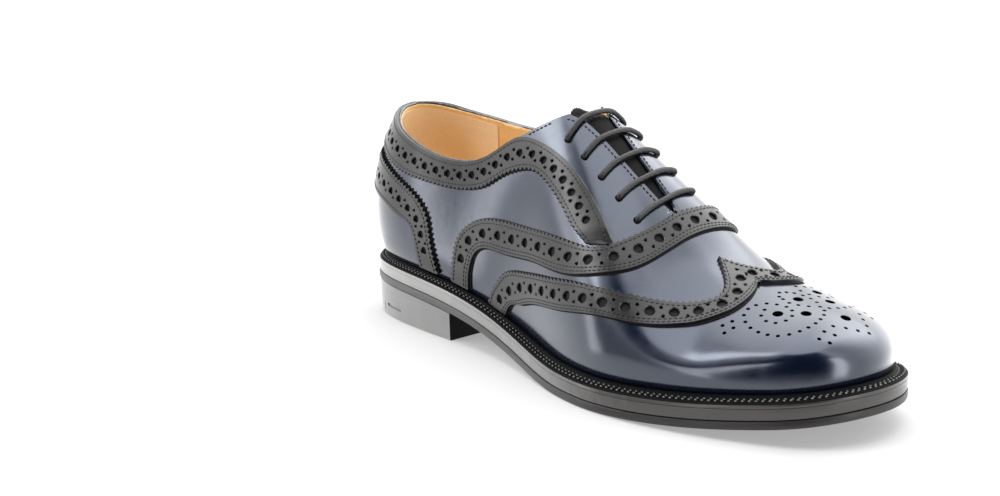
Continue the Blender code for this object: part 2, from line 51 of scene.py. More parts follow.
# Sole, as in the part's source
LENGTH = 275.0
HEEL_BACK = 16.8
HEEL_BREAST = 13.2
BREAST_X = 76.0
BALL_X = 160.0
SPRING_X = 172.0
TOE_SPRING = 11.5
SEAT_SLOPE = 0.6
BREAST_SLOPE = -0.14
OUTSOLE = 3.4
MIDSOLE = 4.2
WELT = 2.6
GAP = 0.3
MIDSOLE_LOW = OUTSOLE + GAP
WELT_LOW = MIDSOLE_LOW + MIDSOLE + GAP
STACK = WELT_LOW + WELT + GAP
MIDSOLE_INSET = 0.5
WELT_INSET = 0.3
WELT_REACH = 17.0
HEEL_TAPER = 1.0
# Edge of the sole: x, distance out and in from its middle line
SOLE_EDGE = [
    (8, 19.5, 17.0), (25, 29.5, 26.5), (50, 33.4, 28.9), (75, 34.2, 28.0),
    (100, 35.2, 25.8), (125, 39.8, 26.2), (150, 47.2, 29.6), (175, 52.0, 35.6),
    (200, 49.8, 43.4), (225, 42.6, 46.2), (245, 34.0, 43.0), (262, 22.8, 36.2)]
TOE_Y = 9.0

# Last, as in the part's source. Its top line: x, y, z, squareness of the section outside and inside, lean
RIDGE = [
    (34, -0.5, 118.0, 1.90, 1.90, 0.00), (60, -0.8, 125.0, 1.90, 1.90, 0.00),
    (100, -0.6, 122.5, 1.90, 1.90, 0.00), (120, -0.5, 114.0, 1.90, 2.00, 0.01),
    (132, -0.5, 106.0, 1.95, 2.40, 0.03), (153, -0.9, 89.6, 2.00, 2.85, 0.14),
    (173, -0.8, 73.5, 2.10, 2.60, 0.22), (198, 2.0, 54.3, 2.35, 2.45, 0.17),
    (212, 4.7, 48.3, 4.00, 2.55, 0.15), (224, 6.5, 45.5, 4.30, 2.45, 0.10),
    (236, 7.6, 44.0, 2.50, 2.50, 0.05)]
# Foot of the upper: station, welt margin outer and inner, bulge outer and inner, its height outer and inner
FOOT = [
    (0, 5.6, 5.6, 6.4, 6.4, 25, 25), (40, 5.6, 5.6, 4.6, 4.2, 21, 23),
    (80, 6.0, 5.0, 2.0, 5.0, 15, 25), (115, 6.6, 4.6, 1.6, 7.6, 13, 27),
    (140, 6.9, 4.8, 2.0, 6.6, 12.5, 24), (165, 7.2, 5.8, 2.6, 4.4, 12, 18),
    (200, 7.4, 7.0, 3.0, 3.0, 12, 12.5), (235, 7.6, 6.8, 2.4, 2.4, 6.3, 11),
    (275, 7.4, 7.4, 1.6, 1.6, 5.1, 5.1)]
TUCK = 0.22
# Collar: x, height outside and inside
COLLAR = [
    (4, 99.6, 99.6), (15, 97.6, 98.4), (28, 92.0, 95.2), (46, 86.0, 92.4), (63, 82.3, 90.4),
    (80, 82.0, 89.8), (91, 84.8, 91.0), (100, 90.4, 94.0), (108, 95.4, 97.6), (119, 101.8, 103.2),
    (124, 104.6, 106.0), (130, 107.4, 108.6), (140, 112.0, 113.0), (280, 160.0, 160.0)]
# Throat: x, half its width
THROAT = [
    (122.9, 0.0), (123.0, 10.5), (127.0, 9.8), (130.5, 8.4), (134.5, 6.7), (140.0, 5.6), (150.0, 4.4),
    (162.0, 3.1), (172.0, 1.8), (175.0, 1.0), (176.5, 0.0)]
WALL = 1.8

# Eyelets and lace, as in the part's source but for the lace's lower lie and its loops
EYELETS = 5
EYELET_X = 132.5
EYELET_PITCH = 9.8
EYELET_OUT = 16.2
EYELET_HOLE = 1.7
EYELET_PUNCH = (2.0, 4.0)
LACE = 1.15
LACE_LIFT = 1.3
LACE_DEPTH = 3.5
LACE_BAR = (0.72, 0.4, -0.4, -0.72)
LACE_AT_EYELET = 0.8 * LACE_LIFT
# Loop past an inner eyelet: share of the eyelet's distance, lift
LACE_LOOP = ((0.98, 1.35), (1.04, 0.8), (1.02, 0.0))

# Brogue bands, as in the part's source: station and rise of one edge, station and rise of the other
BAND_HIGH = 1.6
WING_BAND = [
    (98.3, 0.085, 110.8, 0.085), (99.8, 0.14, 113.4, 0.146), (106, 0.24, 120, 0.203),
    (119, 0.30, 130, 0.243), (145, 0.375, 153, 0.305), (162, 0.443, 171, 0.362),
    (178, 0.51, 188, 0.430), (192, 0.59, 201, 0.505), (204, 0.654, 211.5, 0.580),
    (216, 0.730, 222, 0.668), (224, 0.810, 231.5, 0.794), (228, 0.885, 239, 0.922),
    (228, 0.946, 243.5, 0.985), (222, 1.0, 247.5, 1.0)]
VAMP_BAND = [
    (73.6, 0.085, 85.5, 0.085), (74.6, 0.14, 85.8, 0.14), (76, 0.22, 86.8, 0.205),
    (80.5, 0.296, 90, 0.262), (88, 0.342, 95, 0.290), (101.5, 0.384, 106, 0.311),
    (128.6, 0.443, 132, 0.366), (155, 0.541, 153.5, 0.428), (171, 0.634, 170.3, 0.516),
    (181, 0.757, 184, 0.635), (189.7, 0.900, 196.5, 0.810), (194.5, 1.0, 207.5, 1.0)]
COUNTER_BAND = [
    (66.3, 0.085, 53, 0.085), (64.5, 0.15, 52, 0.13), (61.2, 0.249, 50.6, 0.185),
    (59, 0.292, 47.3, 0.230), (53.2, 0.326, 40, 0.245), (41.6, 0.358, 30, 0.264),
    (30, 0.388, 20, 0.283), (18, 0.426, 12, 0.297), (6, 0.462, 4, 0.311), (0, 0.478, 0, 0.317)]
FACING_BAND = [
    (176, 0.679, 162.3, 0.578), (172, 0.690, 157.5, 0.575), (165, 0.709, 151.5, 0.572),
    (152, 0.720, 143.5, 0.581), (141, 0.713, 134.5, 0.584), (131, 0.694, 127.5, 0.583),
    (122, 0.674, 122, 0.577), (112, 0.650, 116, 0.560)]
COLLAR_BAND = [
    (102, 0.105), (92, 0.092), (80, 0.080), (67, 0.080), (53, 0.090), (38, 0.110), (22, 0.124),
    (7, 0.136), (0, 0.14)]
COLLAR_REVEAL = 0.003

# Tongue and insole, as in the part's source
TONGUE_TOP = 122.0
TONGUE_CORNER = 4.0
TONGUE_CLIMB = 191.0
TONGUE_SEAT = 206.0
TONGUE_FRONT = 216.0
TONGUE_SIDE = 0.70
TONGUE = 1.6
TONGUE_CLEAR = 1.3
TONGUE_TEETH = 18
INSOLE = 2.4
INSOLE_CLEAR = 0.7
# Swell of the tongue's middle between the facings: its height, the shares of the half width between which it
# fades out, and the distance from the tongue's top in which it grows
TONGUE_SWELL = 5.0
SWELL_SPAN = (0.42, 0.66)
SWELL_START = 14.0

# Welt: its bevel, places of its two rows of stitches as shares of the way to the upper's foot, a stitch's
# pitch, length and radius, and the depth of the crimp
WELT_BEVEL = 1.0
WELT_ROWS = (0.06, 0.36)
WELT_STITCH = (2.5, 0.9, 0.32)
CRIMP = 0.28

# Suede heel pocket, and slots in the heel's outer side: first and last station, low, high, depth
SUEDE_STATION = 45.0
SUEDE_THICK = 0.4
HEEL_SLOTS = [(25.0, 38.5, 5.0, 6.4, 0.4), (21.3, 21.9, 1.6, 6.4, 0.3)]

# Fine surface: the leather and its lining, and the spans of stations with closer columns
LEATHER = 1.0
RIM = 0.28
LAYER_GAP = 0.05
LINING_DROP = 0.5
RISE_STEP = 0.02
FINE_SPANS = ((104, 140), (184, 194))
FINE_STEP = 0.8
CUT_ANGLE = 30
UPPER_COLUMNS = 150
UPPER_ROWS = 46
TUCK_ROWS = 8
SOLE_COLUMNS = 220

# Leather work: pinked teeth, punched holes, stitches
TOOTH_PITCH = 2.5
TOOTH_DEPTH = 1.35
# Outline of a tooth: places along it, shares of its depth
TOOTH_AT = (0, 0.38, 0.5, 0.62)
TOOTH_IN = (1, 0.14, 0, 0.14)
BAND_BEVEL = 0.18
HOLE_BEVEL = 0.32
BAND_FOOT = 0.1
BAND_SAMPLES = 300
BIG_HOLE = 1.95
SMALL_HOLE = 0.6
SMALL_PAIR = (0.5, 1.95)
STITCH_PITCH = 2.0
STITCH_LENGTH = 1.5
STITCH = 0.24
FACING_STITCH = 0.32
# Stitches beside the throat, by x, and under the facing's top, by station: first, end, step; distance in
FACING_ROW = (127.0, 171.0, 1.5)
FACING_TOP_ROW = (110.0, 121.0, 0.8)
FACING_SEAM = 2.0
# How far the painted shade under a band shows as a dark line, a painted shadow, beside its folded edge, and
# the facing's end under the vamp band
FOLD_SHADOW = 0.8
TUCK_UNDER = 7.0
TUCK_DROP = 0.6

# Punched ornament of the toe: plan of its middle hole and its slant; the pits' sizes
ORNAMENT_AT = (232.3, 7.2)
ORNAMENT_SLANT = 0.09
ORNAMENT_BIG = 2.05
ORNAMENT_SMALL = 0.8
PIT_DEPTH = 0.7
# Big pits: distance forward and beside
ORNAMENT_BIGS = [(0, 0), (20.1, 0), (8.7, 8.8), (0, 14.4)]
# Leaf around the middle, arrow at the toe, a tail of four at the front and at the back
ORNAMENT_SMALLS = [
    (-8.2, 0), (-6.6, 2.4), (-4.2, 4.2), (-0.9, 4.9), (2.8, 4.6), (6.3, 2.9), (9.4, 0),
    (20.5, 9.7), (23.8, 6.6), (27.0, 3.4), (29.8, 0),
    (19.9, 15.4), (20.6, 20.0), (24.3, 18.6), (23.6, 13.9),
    (-12.4, 25.6), (-10.3, 28.2), (-14.7, 28.8), (-12.2, 31.3)]
# Scroll around the last big pit: turn in degrees, radius
SCROLL = [
    (-46, 17.6), (0, 14.8), (45, 13.9), (90, 12.0), (150, 12.3), (180, 10.3), (225, 7.5), (270, 6.2),
    (360, 5.5), (450, 6.0), (540, 5.7)]
SCROLL_PITCH = 3.9

# Camera, fitted to the photograph: what it looks at, its angles and distance, and its offset across the view
CAMERA_AT = (149.86, -6.54, 45.0)
CAMERA_AZIMUTH = 47.4
CAMERA_ELEVATION = 13.77
CAMERA_DISTANCE = 570.0
CAMERA_OFFSET = (47.25, -6.67)
FOCAL_PIXELS = 1370.64
IMAGE_WIDTH = 1000
SENSOR = 36.0

# Studio, with angles counted as the camera's are: the surround's radiance by azimuth, low down and high up,
# dark on the camera's side between two bright strips
SURROUND = [
    (-180, 2.6, 4.4), (-150, 1.6, 2.6), (-120, 1.8, 2.8), (-85, 1.6, 2.2), (-66, 1.4, 1.2), (-52, 1.1, 1.2),
    (-48, 3.6, 6.6), (-42, 3.6, 6.6), (-39, 0.4, 6.6), (-29, 0.4, 6.6), (-25, 0.5, 1.3), (-10, 0.6, 0.6),
    (-2, 1.0, 0.0), (1, 4.0, 0.0), (7, 4.0, 0.0), (9, 0.0, 0.0), (82, 0.0, 0.0), (85, 5.0, 0.6),
    (94, 5.0, 2.4), (99, 1.2, 2.0), (115, 1.3, 1.3), (140, 1.9, 1.6), (160, 2.4, 2.8), (180, 2.6, 4.4)]
# Radiance from below and from above, and the heights between which each part passes into the next
BELOW_LIGHT = 1.3
TOP_LIGHT = 2.8
BELOW_SPAN = (-0.36, -0.29)
HIGH_SPAN = (0.42, 0.6)
TOP_SPAN = (0.9, 0.94)
# The floor's colour and the light of its own that softens the shadow
FLOOR_COLOUR = (0.42, 0.42, 0.42, 1)
FLOOR_GLOW = 0.33
FLOOR_REACH = 60.0
# Soft box over the shoe: what it aims at, azimuth, elevation, distance, size in metres and radiance
LIGHT_AT = (0.02, 0.0, 0.05)
SOFTBOXES = [("top_box", 60, 80, 1.3, (0.8, 0.8), 2.6)]

# Middle range of a pattern, and where the painted light that makes the sole's edges paler at the heel begins
# and ends, in metres along the shoe
PATTERN_SPAN = (0.3, 0.7)
PAINTED_LIGHT_SPAN = (-0.1, 0.1)


def spline(knots, values, loop=False):
    """A twice smooth curve through the values, with natural ends or as a closed loop."""
    k = np.asarray(knots, float)
    v = np.asarray(values, float)
    n = len(k)
    h = np.diff(k)
    rate = np.diff(v, axis=0) / h.reshape((-1,) + (1,) * (v.ndim - 1))
    m = np.zeros((n, n))
    r = np.zeros(v.shape)
    for i in range(1, n - 1):
        m[i, i - 1:i + 2] = h[i - 1], 2 * (h[i - 1] + h[i]), h[i]
        r[i] = 6 * (rate[i] - rate[i - 1])
    if loop:
        m[0, 0], m[0, 1], m[0, -2] = 2 * (h[0] + h[-1]), h[0], h[-1]
        r[0] = 6 * (rate[0] - rate[-1])
        m[-1, 0], m[-1, -1] = 1, -1
    else:
        m[0, 0] = m[-1, -1] = 1
    c = np.linalg.solve(m, r.reshape(n, -1)).reshape(v.shape)

    def at(x):
        x = np.asarray(x, float)
        i = np.clip(np.searchsorted(k, x, side="right") - 1, 0, n - 2)
        shape = x.shape + (1,) * (v.ndim - 1)
        a = (k[i + 1] - x).reshape(shape)
        b = (x - k[i]).reshape(shape)
        w = h[i].reshape(shape)
        bend = (c[i] * a**3 + c[i + 1] * b**3) / (6 * w)
        return bend + (v[i] / w - c[i] * w / 6) * a + (v[i + 1] / w - c[i + 1] * w / 6) * b
    return at


def smooth(rows):
    """A table made smooth: its first column against the others, held at the ends."""
    rows = np.array(rows, float)
    at = spline(rows[:, 0], rows[:, 1:])
    return lambda x: at(np.clip(x, rows[0, 0], rows[-1, 0]))


def lengths(points):
    """Distance along a line of points."""
    return np.concatenate([[0], np.cumsum(np.linalg.norm(np.diff(points, axis=0), axis=1))])


def unit(rows):
    """Directions of length one."""
    return rows / np.linalg.norm(rows, axis=-1, keepdims=True)


def turns(sides):
    """Angles of a ring's corners."""
    return np.arange(sides) * 2 * np.pi / sides


def through(points, step):
    """Points about step apart on a smooth curve through the given points."""
    points = np.asarray(points, float)
    knots = np.concatenate([[0], np.cumsum(np.sqrt(np.linalg.norm(np.diff(points, axis=0), axis=1)))])
    fine = spline(knots, points)(np.linspace(0, knots[-1], 40 * len(points)))
    way = lengths(fine)
    even = np.linspace(0, way[-1], int(round(way[-1] / step)) + 1)
    return np.column_stack([np.interp(even, way, fine[:, k]) for k in range(3)])


def ease(t, start, end, start_rate, end_rate):
    """A cubic from start to end with the given rates at t = 0 and t = 1."""
    ends = start * (2 * t**3 - 3 * t**2 + 1) + end * (3 * t**2 - 2 * t**3)
    return ends + start_rate * (t**3 - 2 * t**2 + t) + end_rate * (t**3 - t**2)


def underside(x):
    """Height of the outsole's underside: heel seat, waist, flat ball, toe spring."""
    x = np.asarray(x, float)
    seat = SEAT_SLOPE * (HEEL_BREAST - HEEL_BACK)
    reach = BALL_X - BREAST_X
    heel = ease(np.clip(x / BREAST_X, 0, 1), HEEL_BACK, HEEL_BREAST, seat, BREAST_SLOPE * BREAST_X)
    waist = ease(np.clip((x - BREAST_X) / reach, 0, 1), HEEL_BREAST, 0, BREAST_SLOPE * reach, 0)
    lift = np.clip((x - SPRING_X) / (LENGTH - SPRING_X), 0, None)
    return np.where(x < BREAST_X, heel, waist) + TOE_SPRING * lift**2


def edge_loop():
    """The sole's edge as a closed curve: heel, outer side, toe, inner side."""
    outer = [(x, -out) for x, out, inn in SOLE_EDGE]
    inner = [(x, inn) for x, out, inn in reversed(SOLE_EDGE)]
    points = np.array([(0, 0)] + outer + [(LENGTH, TOE_Y)] + inner + [(0, 0)], float)
    steps = np.sqrt(np.linalg.norm(np.diff(points, axis=0), axis=1))
    knots = np.concatenate([[0], np.cumsum(steps)])
    return spline(knots, points, True), knots[-1]


def edge_stations():
    """Stations along the sole against places on its edge, from rearmost to foremost point, by each side."""
    t = np.linspace(0, EDGE_END, 8001)
    t = t + t[np.argmin(EDGE(t)[:-1, 0])]
    x = EDGE(t % EDGE_END)[:, 0]
    x = (x - x.min()) * LENGTH / (x.max() - x.min())
    toe = np.argmax(x)
    return (x[:toe + 1], t[:toe + 1]), (x[toe:][::-1], t[toe:][::-1])


EDGE, EDGE_END = edge_loop()
OUTER_EDGE, INNER_EDGE = edge_stations()
ridge_at = smooth(RIDGE)
foot_at = smooth(FOOT)
collar_at = smooth(COLLAR)


def station(v):
    """Station along the sole of column v: 0 heel, +1 toe by the outer side, -1 toe by the inner side."""
    return LENGTH * (1 - np.cos(np.pi * np.abs(v))) / 2


def column(x):
    """The outer column at station x."""
    return np.arccos(1 - 2 * np.asarray(x, float) / LENGTH) / np.pi


def edge_at(v):
    """Sole edge and its outward direction at column v."""
    x = station(v)
    t = np.where(v >= 0, np.interp(x, *OUTER_EDGE), np.interp(x, *INNER_EDGE))
    d = unit(EDGE((t + 0.01) % EDGE_END) - EDGE((t - 0.01) % EDGE_END))
    return EDGE(t % EDGE_END), np.stack([d[..., 1], -d[..., 0]], -1)


def last(v, w):
    """The last's surface at column v and rise w, from the feather line (0) to the top line (1)."""
    v, w = np.broadcast_arrays(np.asarray(v, float), np.asarray(w, float))
    x = station(v)
    edge, out = edge_at(v)
    margin_out, margin_in, bulge_out, bulge_in, rise_out, rise_in = np.moveaxis(foot_at(x), -1, 0)
    margin = np.where(v >= 0, margin_out, margin_in)
    bulge = np.where(v >= 0, bulge_out, bulge_in)
    rise = np.where(v >= 0, rise_out, rise_in)
    top_x = RIDGE[0][0] + x * (RIDGE[-1][0] - RIDGE[0][0]) / LENGTH
    top_y, top_z, square_out, square_in, lean = np.moveaxis(ridge_at(top_x), -1, 0)
    inside = np.clip(top_x, RIDGE[0][0] + 0.5, RIDGE[-1][0] - 0.5)
    slope = ridge_at(inside + 0.5)[..., 1] - ridge_at(inside - 0.5)[..., 1]
    power = 2 / np.where(v >= 0, square_out, square_in)
    foot = edge - out * margin[..., None]
    foot_z = underside(foot[..., 0]) + STACK
    low = np.clip(w / TUCK, 0, 1) * np.pi / 2
    high = np.clip((w - TUCK) / (1 - TUCK), 0, 1) * np.pi / 2
    inward = np.cos(high)**power
    upward = np.sin(high)**power
    top = np.stack([top_x, top_y], -1)
    tucked = foot + out * (bulge * np.sin(low))[..., None]
    arched = top + (foot + out * bulge[..., None] - top) * inward[..., None]
    xy = np.where((w < TUCK)[..., None], tucked, arched)
    tilt = slope * (xy[..., 0] - top_x) + lean * (xy[..., 1] - top_y)
    arch_z = foot_z + rise + (top_z - foot_z - rise + tilt) * upward
    z = np.where(w < TUCK, foot_z + rise * (1 - np.cos(low)), arch_z)
    return np.concatenate([xy, z[..., None]], -1)


def around(v):
    """Columns run past the toe on to the other side."""
    return (np.asarray(v, float) + 1) % 2 - 1


def normal(v, w):
    """Outward direction of the last's surface; on the top line the mean of both sides."""
    v, w = np.broadcast_arrays(np.asarray(v, float), np.asarray(w, float))
    e = 1e-3

    def one_side(v):
        along = last(around(v + e), w) - last(around(v - e), w)
        upward = last(v, np.clip(w + e, 0, 1)) - last(v, np.clip(w - e, 0, 1))
        return unit(np.cross(along, upward))
    n = one_side(v)
    return unit(np.where((w > 1 - e)[..., None], n + one_side(-v), n))


def shell(v, w, offset):
    """The last's surface moved outward by offset."""
    return last(v, w) + normal(v, w) * np.asarray(offset, float)[..., None]


def trim(v):
    """Rise of the upper's top edge in column v: the collar, the facing's edge or the top line."""
    w = np.linspace(0.3, 1, 1401)
    throat = np.array(THROAT)
    rises = []
    for one in np.atleast_1d(v):
        p = last(np.full_like(w, one), w)
        beside = np.abs(p[:, 1] - ridge_at(p[:, 0])[:, 0])
        over = p[:, 2] > collar_at(p[:, 0])[:, 0 if one >= 0 else 1]
        over |= beside < np.interp(p[:, 0], throat[:, 0], throat[:, 1])
        rises.append(w[np.argmax(over)] if over.any() else 1.0)
    return np.array(rises)


def spot(x, beside):
    """Column and rise of the point at x that lies beside the top line, outer side positive."""
    side = 1 if beside >= 0 else -1
    w = np.linspace(0.4, 1, 1201)
    s = (x - RIDGE[0][0]) * LENGTH / (RIDGE[-1][0] - RIDGE[0][0])
    for _ in range(6):
        v = side * column(s)
        p = last(np.full_like(w, v), w)
        i = np.argmin(np.abs(np.abs(p[:, 1] - ridge_at(p[:, 0])[:, 0]) - abs(beside)))
        s += x - p[i, 0]
    return v, w[i]


def across_to(v, w):
    """Rise on the inner side at the same share of the way from feather line to top line."""
    grid = np.linspace(0, 1, 161)
    rises = np.empty(v.shape)
    for place in np.ndindex(v.shape):
        shares = []
        for side in (1, -1):
            p = last(np.full_like(grid, side * v[place]), grid)
            way = lengths(p)
            shares.append(way / way[-1])
        rises[place] = np.interp(np.interp(w[place], grid, shares[0]), shares[1], grid)
    return rises


def add_mesh(name, points, faces, surfaces, angle=40.0, shades=None):
    """A mesh object from points in millimetres, with doubled points merged and faces turned outward."""
    mesh = bpy.data.meshes.new(name)
    mesh.from_pydata(((np.asarray(points) - SHIFT) * MM).tolist(), [], faces)
    if shades is not None:
        mesh.polygons.foreach_set("material_index", shades)
    for surface in surfaces:
        mesh.materials.append(surface)
    bm = bmesh.new()
    bm.from_mesh(mesh)
    bmesh.ops.remove_doubles(bm, verts=bm.verts, dist=0.000004)
    bmesh.ops.dissolve_degenerate(bm, edges=bm.edges, dist=0.000002)
    bmesh.ops.recalc_face_normals(bm, faces=bm.faces)
    bm.to_mesh(mesh)
    bm.free()
    mesh.shade_smooth()
    mesh.set_sharp_from_angle(angle=math.radians(angle))
    obj = bpy.data.objects.new(name, mesh)
    bpy.context.scene.collection.objects.link(obj)
    return obj


def place_piece(obj, node=None):
    """Lets a piece ride on the shoe, and hides the solid that it stands for."""
    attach(obj, "root")
    if node:
        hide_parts(node)


def grid_faces(rows, columns, start=0):
    """Quads of a grid of points whose first index is start."""
    i, j = np.mgrid[0:rows - 1, 0:columns - 1]
    a = start + i * columns + j
    return np.stack([a, a + 1, a + columns + 1, a + columns], -1).reshape(-1, 4).tolist()


def ring_faces(rings, sides, start=0, loop=False):
    """Quads between rings of points; in a loop the last ring is joined to the first."""
    r, k = np.mgrid[0:rings if loop else rings - 1, 0:sides]
    m = (k + 1) % sides
    low = start + r * sides
    high = start + (r + 1) % rings * sides
    return np.stack([low + k, low + m, high + m, high + k], -1).reshape(-1, 4).tolist()


def closed_sheet(outer, inner):
    """Points and faces of the closed solid between two grids of the same size."""
    rows, columns = outer.shape[:2]
    half = rows * columns
    index = np.arange(half).reshape(rows, columns)
    rim = np.concatenate([index[0, :-1], index[:-1, -1], index[-1, :0:-1], index[:0:-1, 0]])
    after = np.roll(rim, -1)
    walls = np.stack([after, rim, rim + half, after + half], -1).tolist()
    points = np.concatenate([outer.reshape(-1, 3), inner.reshape(-1, 3)])
    return points, grid_faces(rows, columns) + grid_faces(rows, columns, half) + walls


def new_material(name, **sockets):
    """A material with its shader's constant values, its nodes and its links."""
    material = bpy.data.materials.new(name)
    material.use_nodes = True
    nodes = material.node_tree.nodes
    for socket, value in sockets.items():
        label = socket.replace("_", " ").title().replace("Ior", "IOR")
        nodes["Principled BSDF"].inputs[label].default_value = value
    return material, nodes, material.node_tree.links


def noise(nodes, links, size, detail=3.0, stretch=None):
    """A noise pattern with features of about size millimetres, in the shoe's own coordinates."""
    place = nodes.new("ShaderNodeTexCoord").outputs["Object"]
    if stretch:
        mapping = nodes.new("ShaderNodeMapping")
        mapping.inputs["Scale"].default_value = stretch
        links.new(place, mapping.inputs["Vector"])
        place = mapping.outputs["Vector"]
    pattern = nodes.new("ShaderNodeTexNoise")
    pattern.inputs["Scale"].default_value = 1 / (size * MM)
    pattern.inputs["Detail"].default_value = detail
    links.new(place, pattern.inputs["Vector"])
    return pattern.outputs["Fac"]


def map_range(nodes, links, value, span, ends=(0.0, 1.0), kind="LINEAR"):
    """A socket's value mapped from a span to two ends."""
    ramp = nodes.new("ShaderNodeMapRange")
    ramp.interpolation_type = kind
    for label, limit in zip(("From Min", "From Max", "To Min", "To Max"), (*span, *ends)):
        ramp.inputs[label].default_value = limit
    links.new(value, ramp.inputs["Value"])
    return ramp.outputs["Result"]


def spread(nodes, links, value, low, high):
    """A pattern's middle range mapped to low and high."""
    return map_range(nodes, links, value, PATTERN_SPAN, (low, high))


def blend_colours(nodes, links, value, first, second):
    """A colour between two, by a pattern."""
    mix = nodes.new("ShaderNodeMix")
    mix.data_type = "RGBA"
    mix.inputs["A"].default_value = (*first, 1)
    mix.inputs["B"].default_value = (*second, 1)
    links.new(spread(nodes, links, value, 0, 1), mix.inputs["Factor"])
    return mix.outputs["Result"]


def add_bump(nodes, links, height, depth, before=None):
    """A bump of depth millimetres from a pattern, on top of another bump."""
    bump = nodes.new("ShaderNodeBump")
    bump.inputs["Strength"].default_value = 1.0
    bump.inputs["Distance"].default_value = depth * MM
    links.new(height, bump.inputs["Height"])
    if before:
        links.new(before, bump.inputs["Normal"])
    return bump.outputs["Normal"]


def leather(name, first, second, roughness, depth, coat, coat_roughness, shine=(1, 1, 1), ior=1.5):
    """Calf leather: clouded dye, fine pores, a gentle waviness and a waxed coat; shine tints its gloss."""
    material, nodes, links = new_material(
        name, coat_weight=coat, coat_roughness=coat_roughness, specular_tint=(*shine, 1), ior=ior)
    shader = nodes["Principled BSDF"]
    cloud = noise(nodes, links, 18.0)
    links.new(blend_colours(nodes, links, cloud, first, second), shader.inputs["Base Color"])
    links.new(spread(nodes, links, noise(nodes, links, 5.0), *roughness), shader.inputs["Roughness"])
    bump = add_bump(nodes, links, noise(nodes, links, 0.5, 2.0), depth)
    bump = add_bump(nodes, links, noise(nodes, links, 2.2, 2.0), 2 * depth, bump)
    bump = add_bump(nodes, links, noise(nodes, links, 9.0, 1.0), 9 * depth, bump)
    links.new(bump, shader.inputs["Normal"])
    links.new(bump, shader.inputs["Coat Normal"])
    return material


def matt(name, first, second, roughness, size, depth, sheen=0.0, gloss=0.5):
    """A dull surface with a speckle of the given size."""
    material, nodes, links = new_material(
        name, sheen_weight=sheen, sheen_roughness=0.5, specular_ior_level=gloss)
    shader = nodes["Principled BSDF"]
    speckle = noise(nodes, links, size, 4.0)
    links.new(blend_colours(nodes, links, speckle, first, second), shader.inputs["Base Color"])
    links.new(spread(nodes, links, speckle, *roughness), shader.inputs["Roughness"])
    links.new(add_bump(nodes, links, speckle, depth), shader.inputs["Normal"])
    return material


def sole_edge_with_painted_light(name, heel, toe, roughness, coat):
    """Waxed sole edge: brown black at the toe and paler towards the heel as painted light, fine lines along
    it.
    """
    material, nodes, links = new_material(name, coat_weight=coat, coat_roughness=0.2)
    shader = nodes["Principled BSDF"]
    place = nodes.new("ShaderNodeSeparateXYZ")
    links.new(nodes.new("ShaderNodeTexCoord").outputs["Object"], place.inputs["Vector"])
    # Painted light: the colour runs from pale at the heel to dark at the toe, as if the heel's end were lit.
    along = map_range(nodes, links, place.outputs["X"], PAINTED_LIGHT_SPAN, PATTERN_SPAN, "SMOOTHSTEP")
    cloud = nodes.new("ShaderNodeMath")
    cloud.operation = "MULTIPLY_ADD"
    links.new(noise(nodes, links, 7.0), cloud.inputs[0])
    cloud.inputs[1].default_value = 0.1
    links.new(along, cloud.inputs[2])
    links.new(blend_colours(nodes, links, cloud.outputs["Value"], heel, toe), shader.inputs["Base Color"])
    lines = noise(nodes, links, 1.2, 4.0, (0.05, 0.05, 1.0))
    links.new(spread(nodes, links, lines, *roughness), shader.inputs["Roughness"])
    links.new(add_bump(nodes, links, lines, 0.03), shader.inputs["Normal"])
    return material


NAVY = leather(
    "navy_calf", (0.0016, 0.0042, 0.0125), (0.0026, 0.006, 0.0175), (0.18, 0.25), 0.004, 0.8, 0.12,
    (0.66, 0.77, 1.0), 1.7)
CHARCOAL = leather(
    "charcoal_calf", (0.008, 0.008, 0.0085), (0.013, 0.013, 0.0135), (0.27, 0.36), 0.006, 0.3, 0.22)
# Near-black and dull: painted shade in the punched holes and pits, and on the sheets under the bands.
PIT_PAINTED_SHADE = matt("punched_pit_painted_shade", (0.003, 0.003, 0.004), (0.006, 0.006, 0.008), (0.7, 0.85), 0.6, 0.03)
LINING = matt("tan_lining", (0.84, 0.54, 0.22), (0.89, 0.6, 0.27), (0.45, 0.58), 2.5, 0.03)
SUEDE = matt("heel_suede", (0.86, 0.66, 0.41), (0.93, 0.75, 0.5), (0.8, 0.95), 0.9, 0.08, 0.3)
# The tongue's near-black, dull leather stands partly for painted shade in the throat.
TONGUE_DARK_PAINTED_SHADE = matt(
    "tongue_calf_painted_shade", (0.002, 0.0017, 0.002), (0.004, 0.0034, 0.004), (0.5, 0.6), 0.9, 0.02, 0.0, 0.08)
THREAD = matt("waxed_thread", (0.006, 0.006, 0.007), (0.012, 0.012, 0.013), (0.35, 0.5), 0.4, 0.03)
# Grey welt thread: pale partly as a painted highlight on its stitches.
WELT_THREAD_PAINTED_HIGHLIGHT = matt("welt_thread_painted_highlight", (0.12, 0.12, 0.122), (0.24, 0.24, 0.245), (0.3, 0.42), 0.5, 0.04)
# Near-black, dull welt top: dark leather, and partly painted shade of the crevice at the upper's foot and
# under the arch.
WELT_TOP_AND_PAINTED_SHADE = matt(
    "welt_top_and_painted_shade", (0.002, 0.002, 0.0025), (0.004, 0.004, 0.0045), (0.55, 0.7), 0.9, 0.05, 0.0, 0.08)
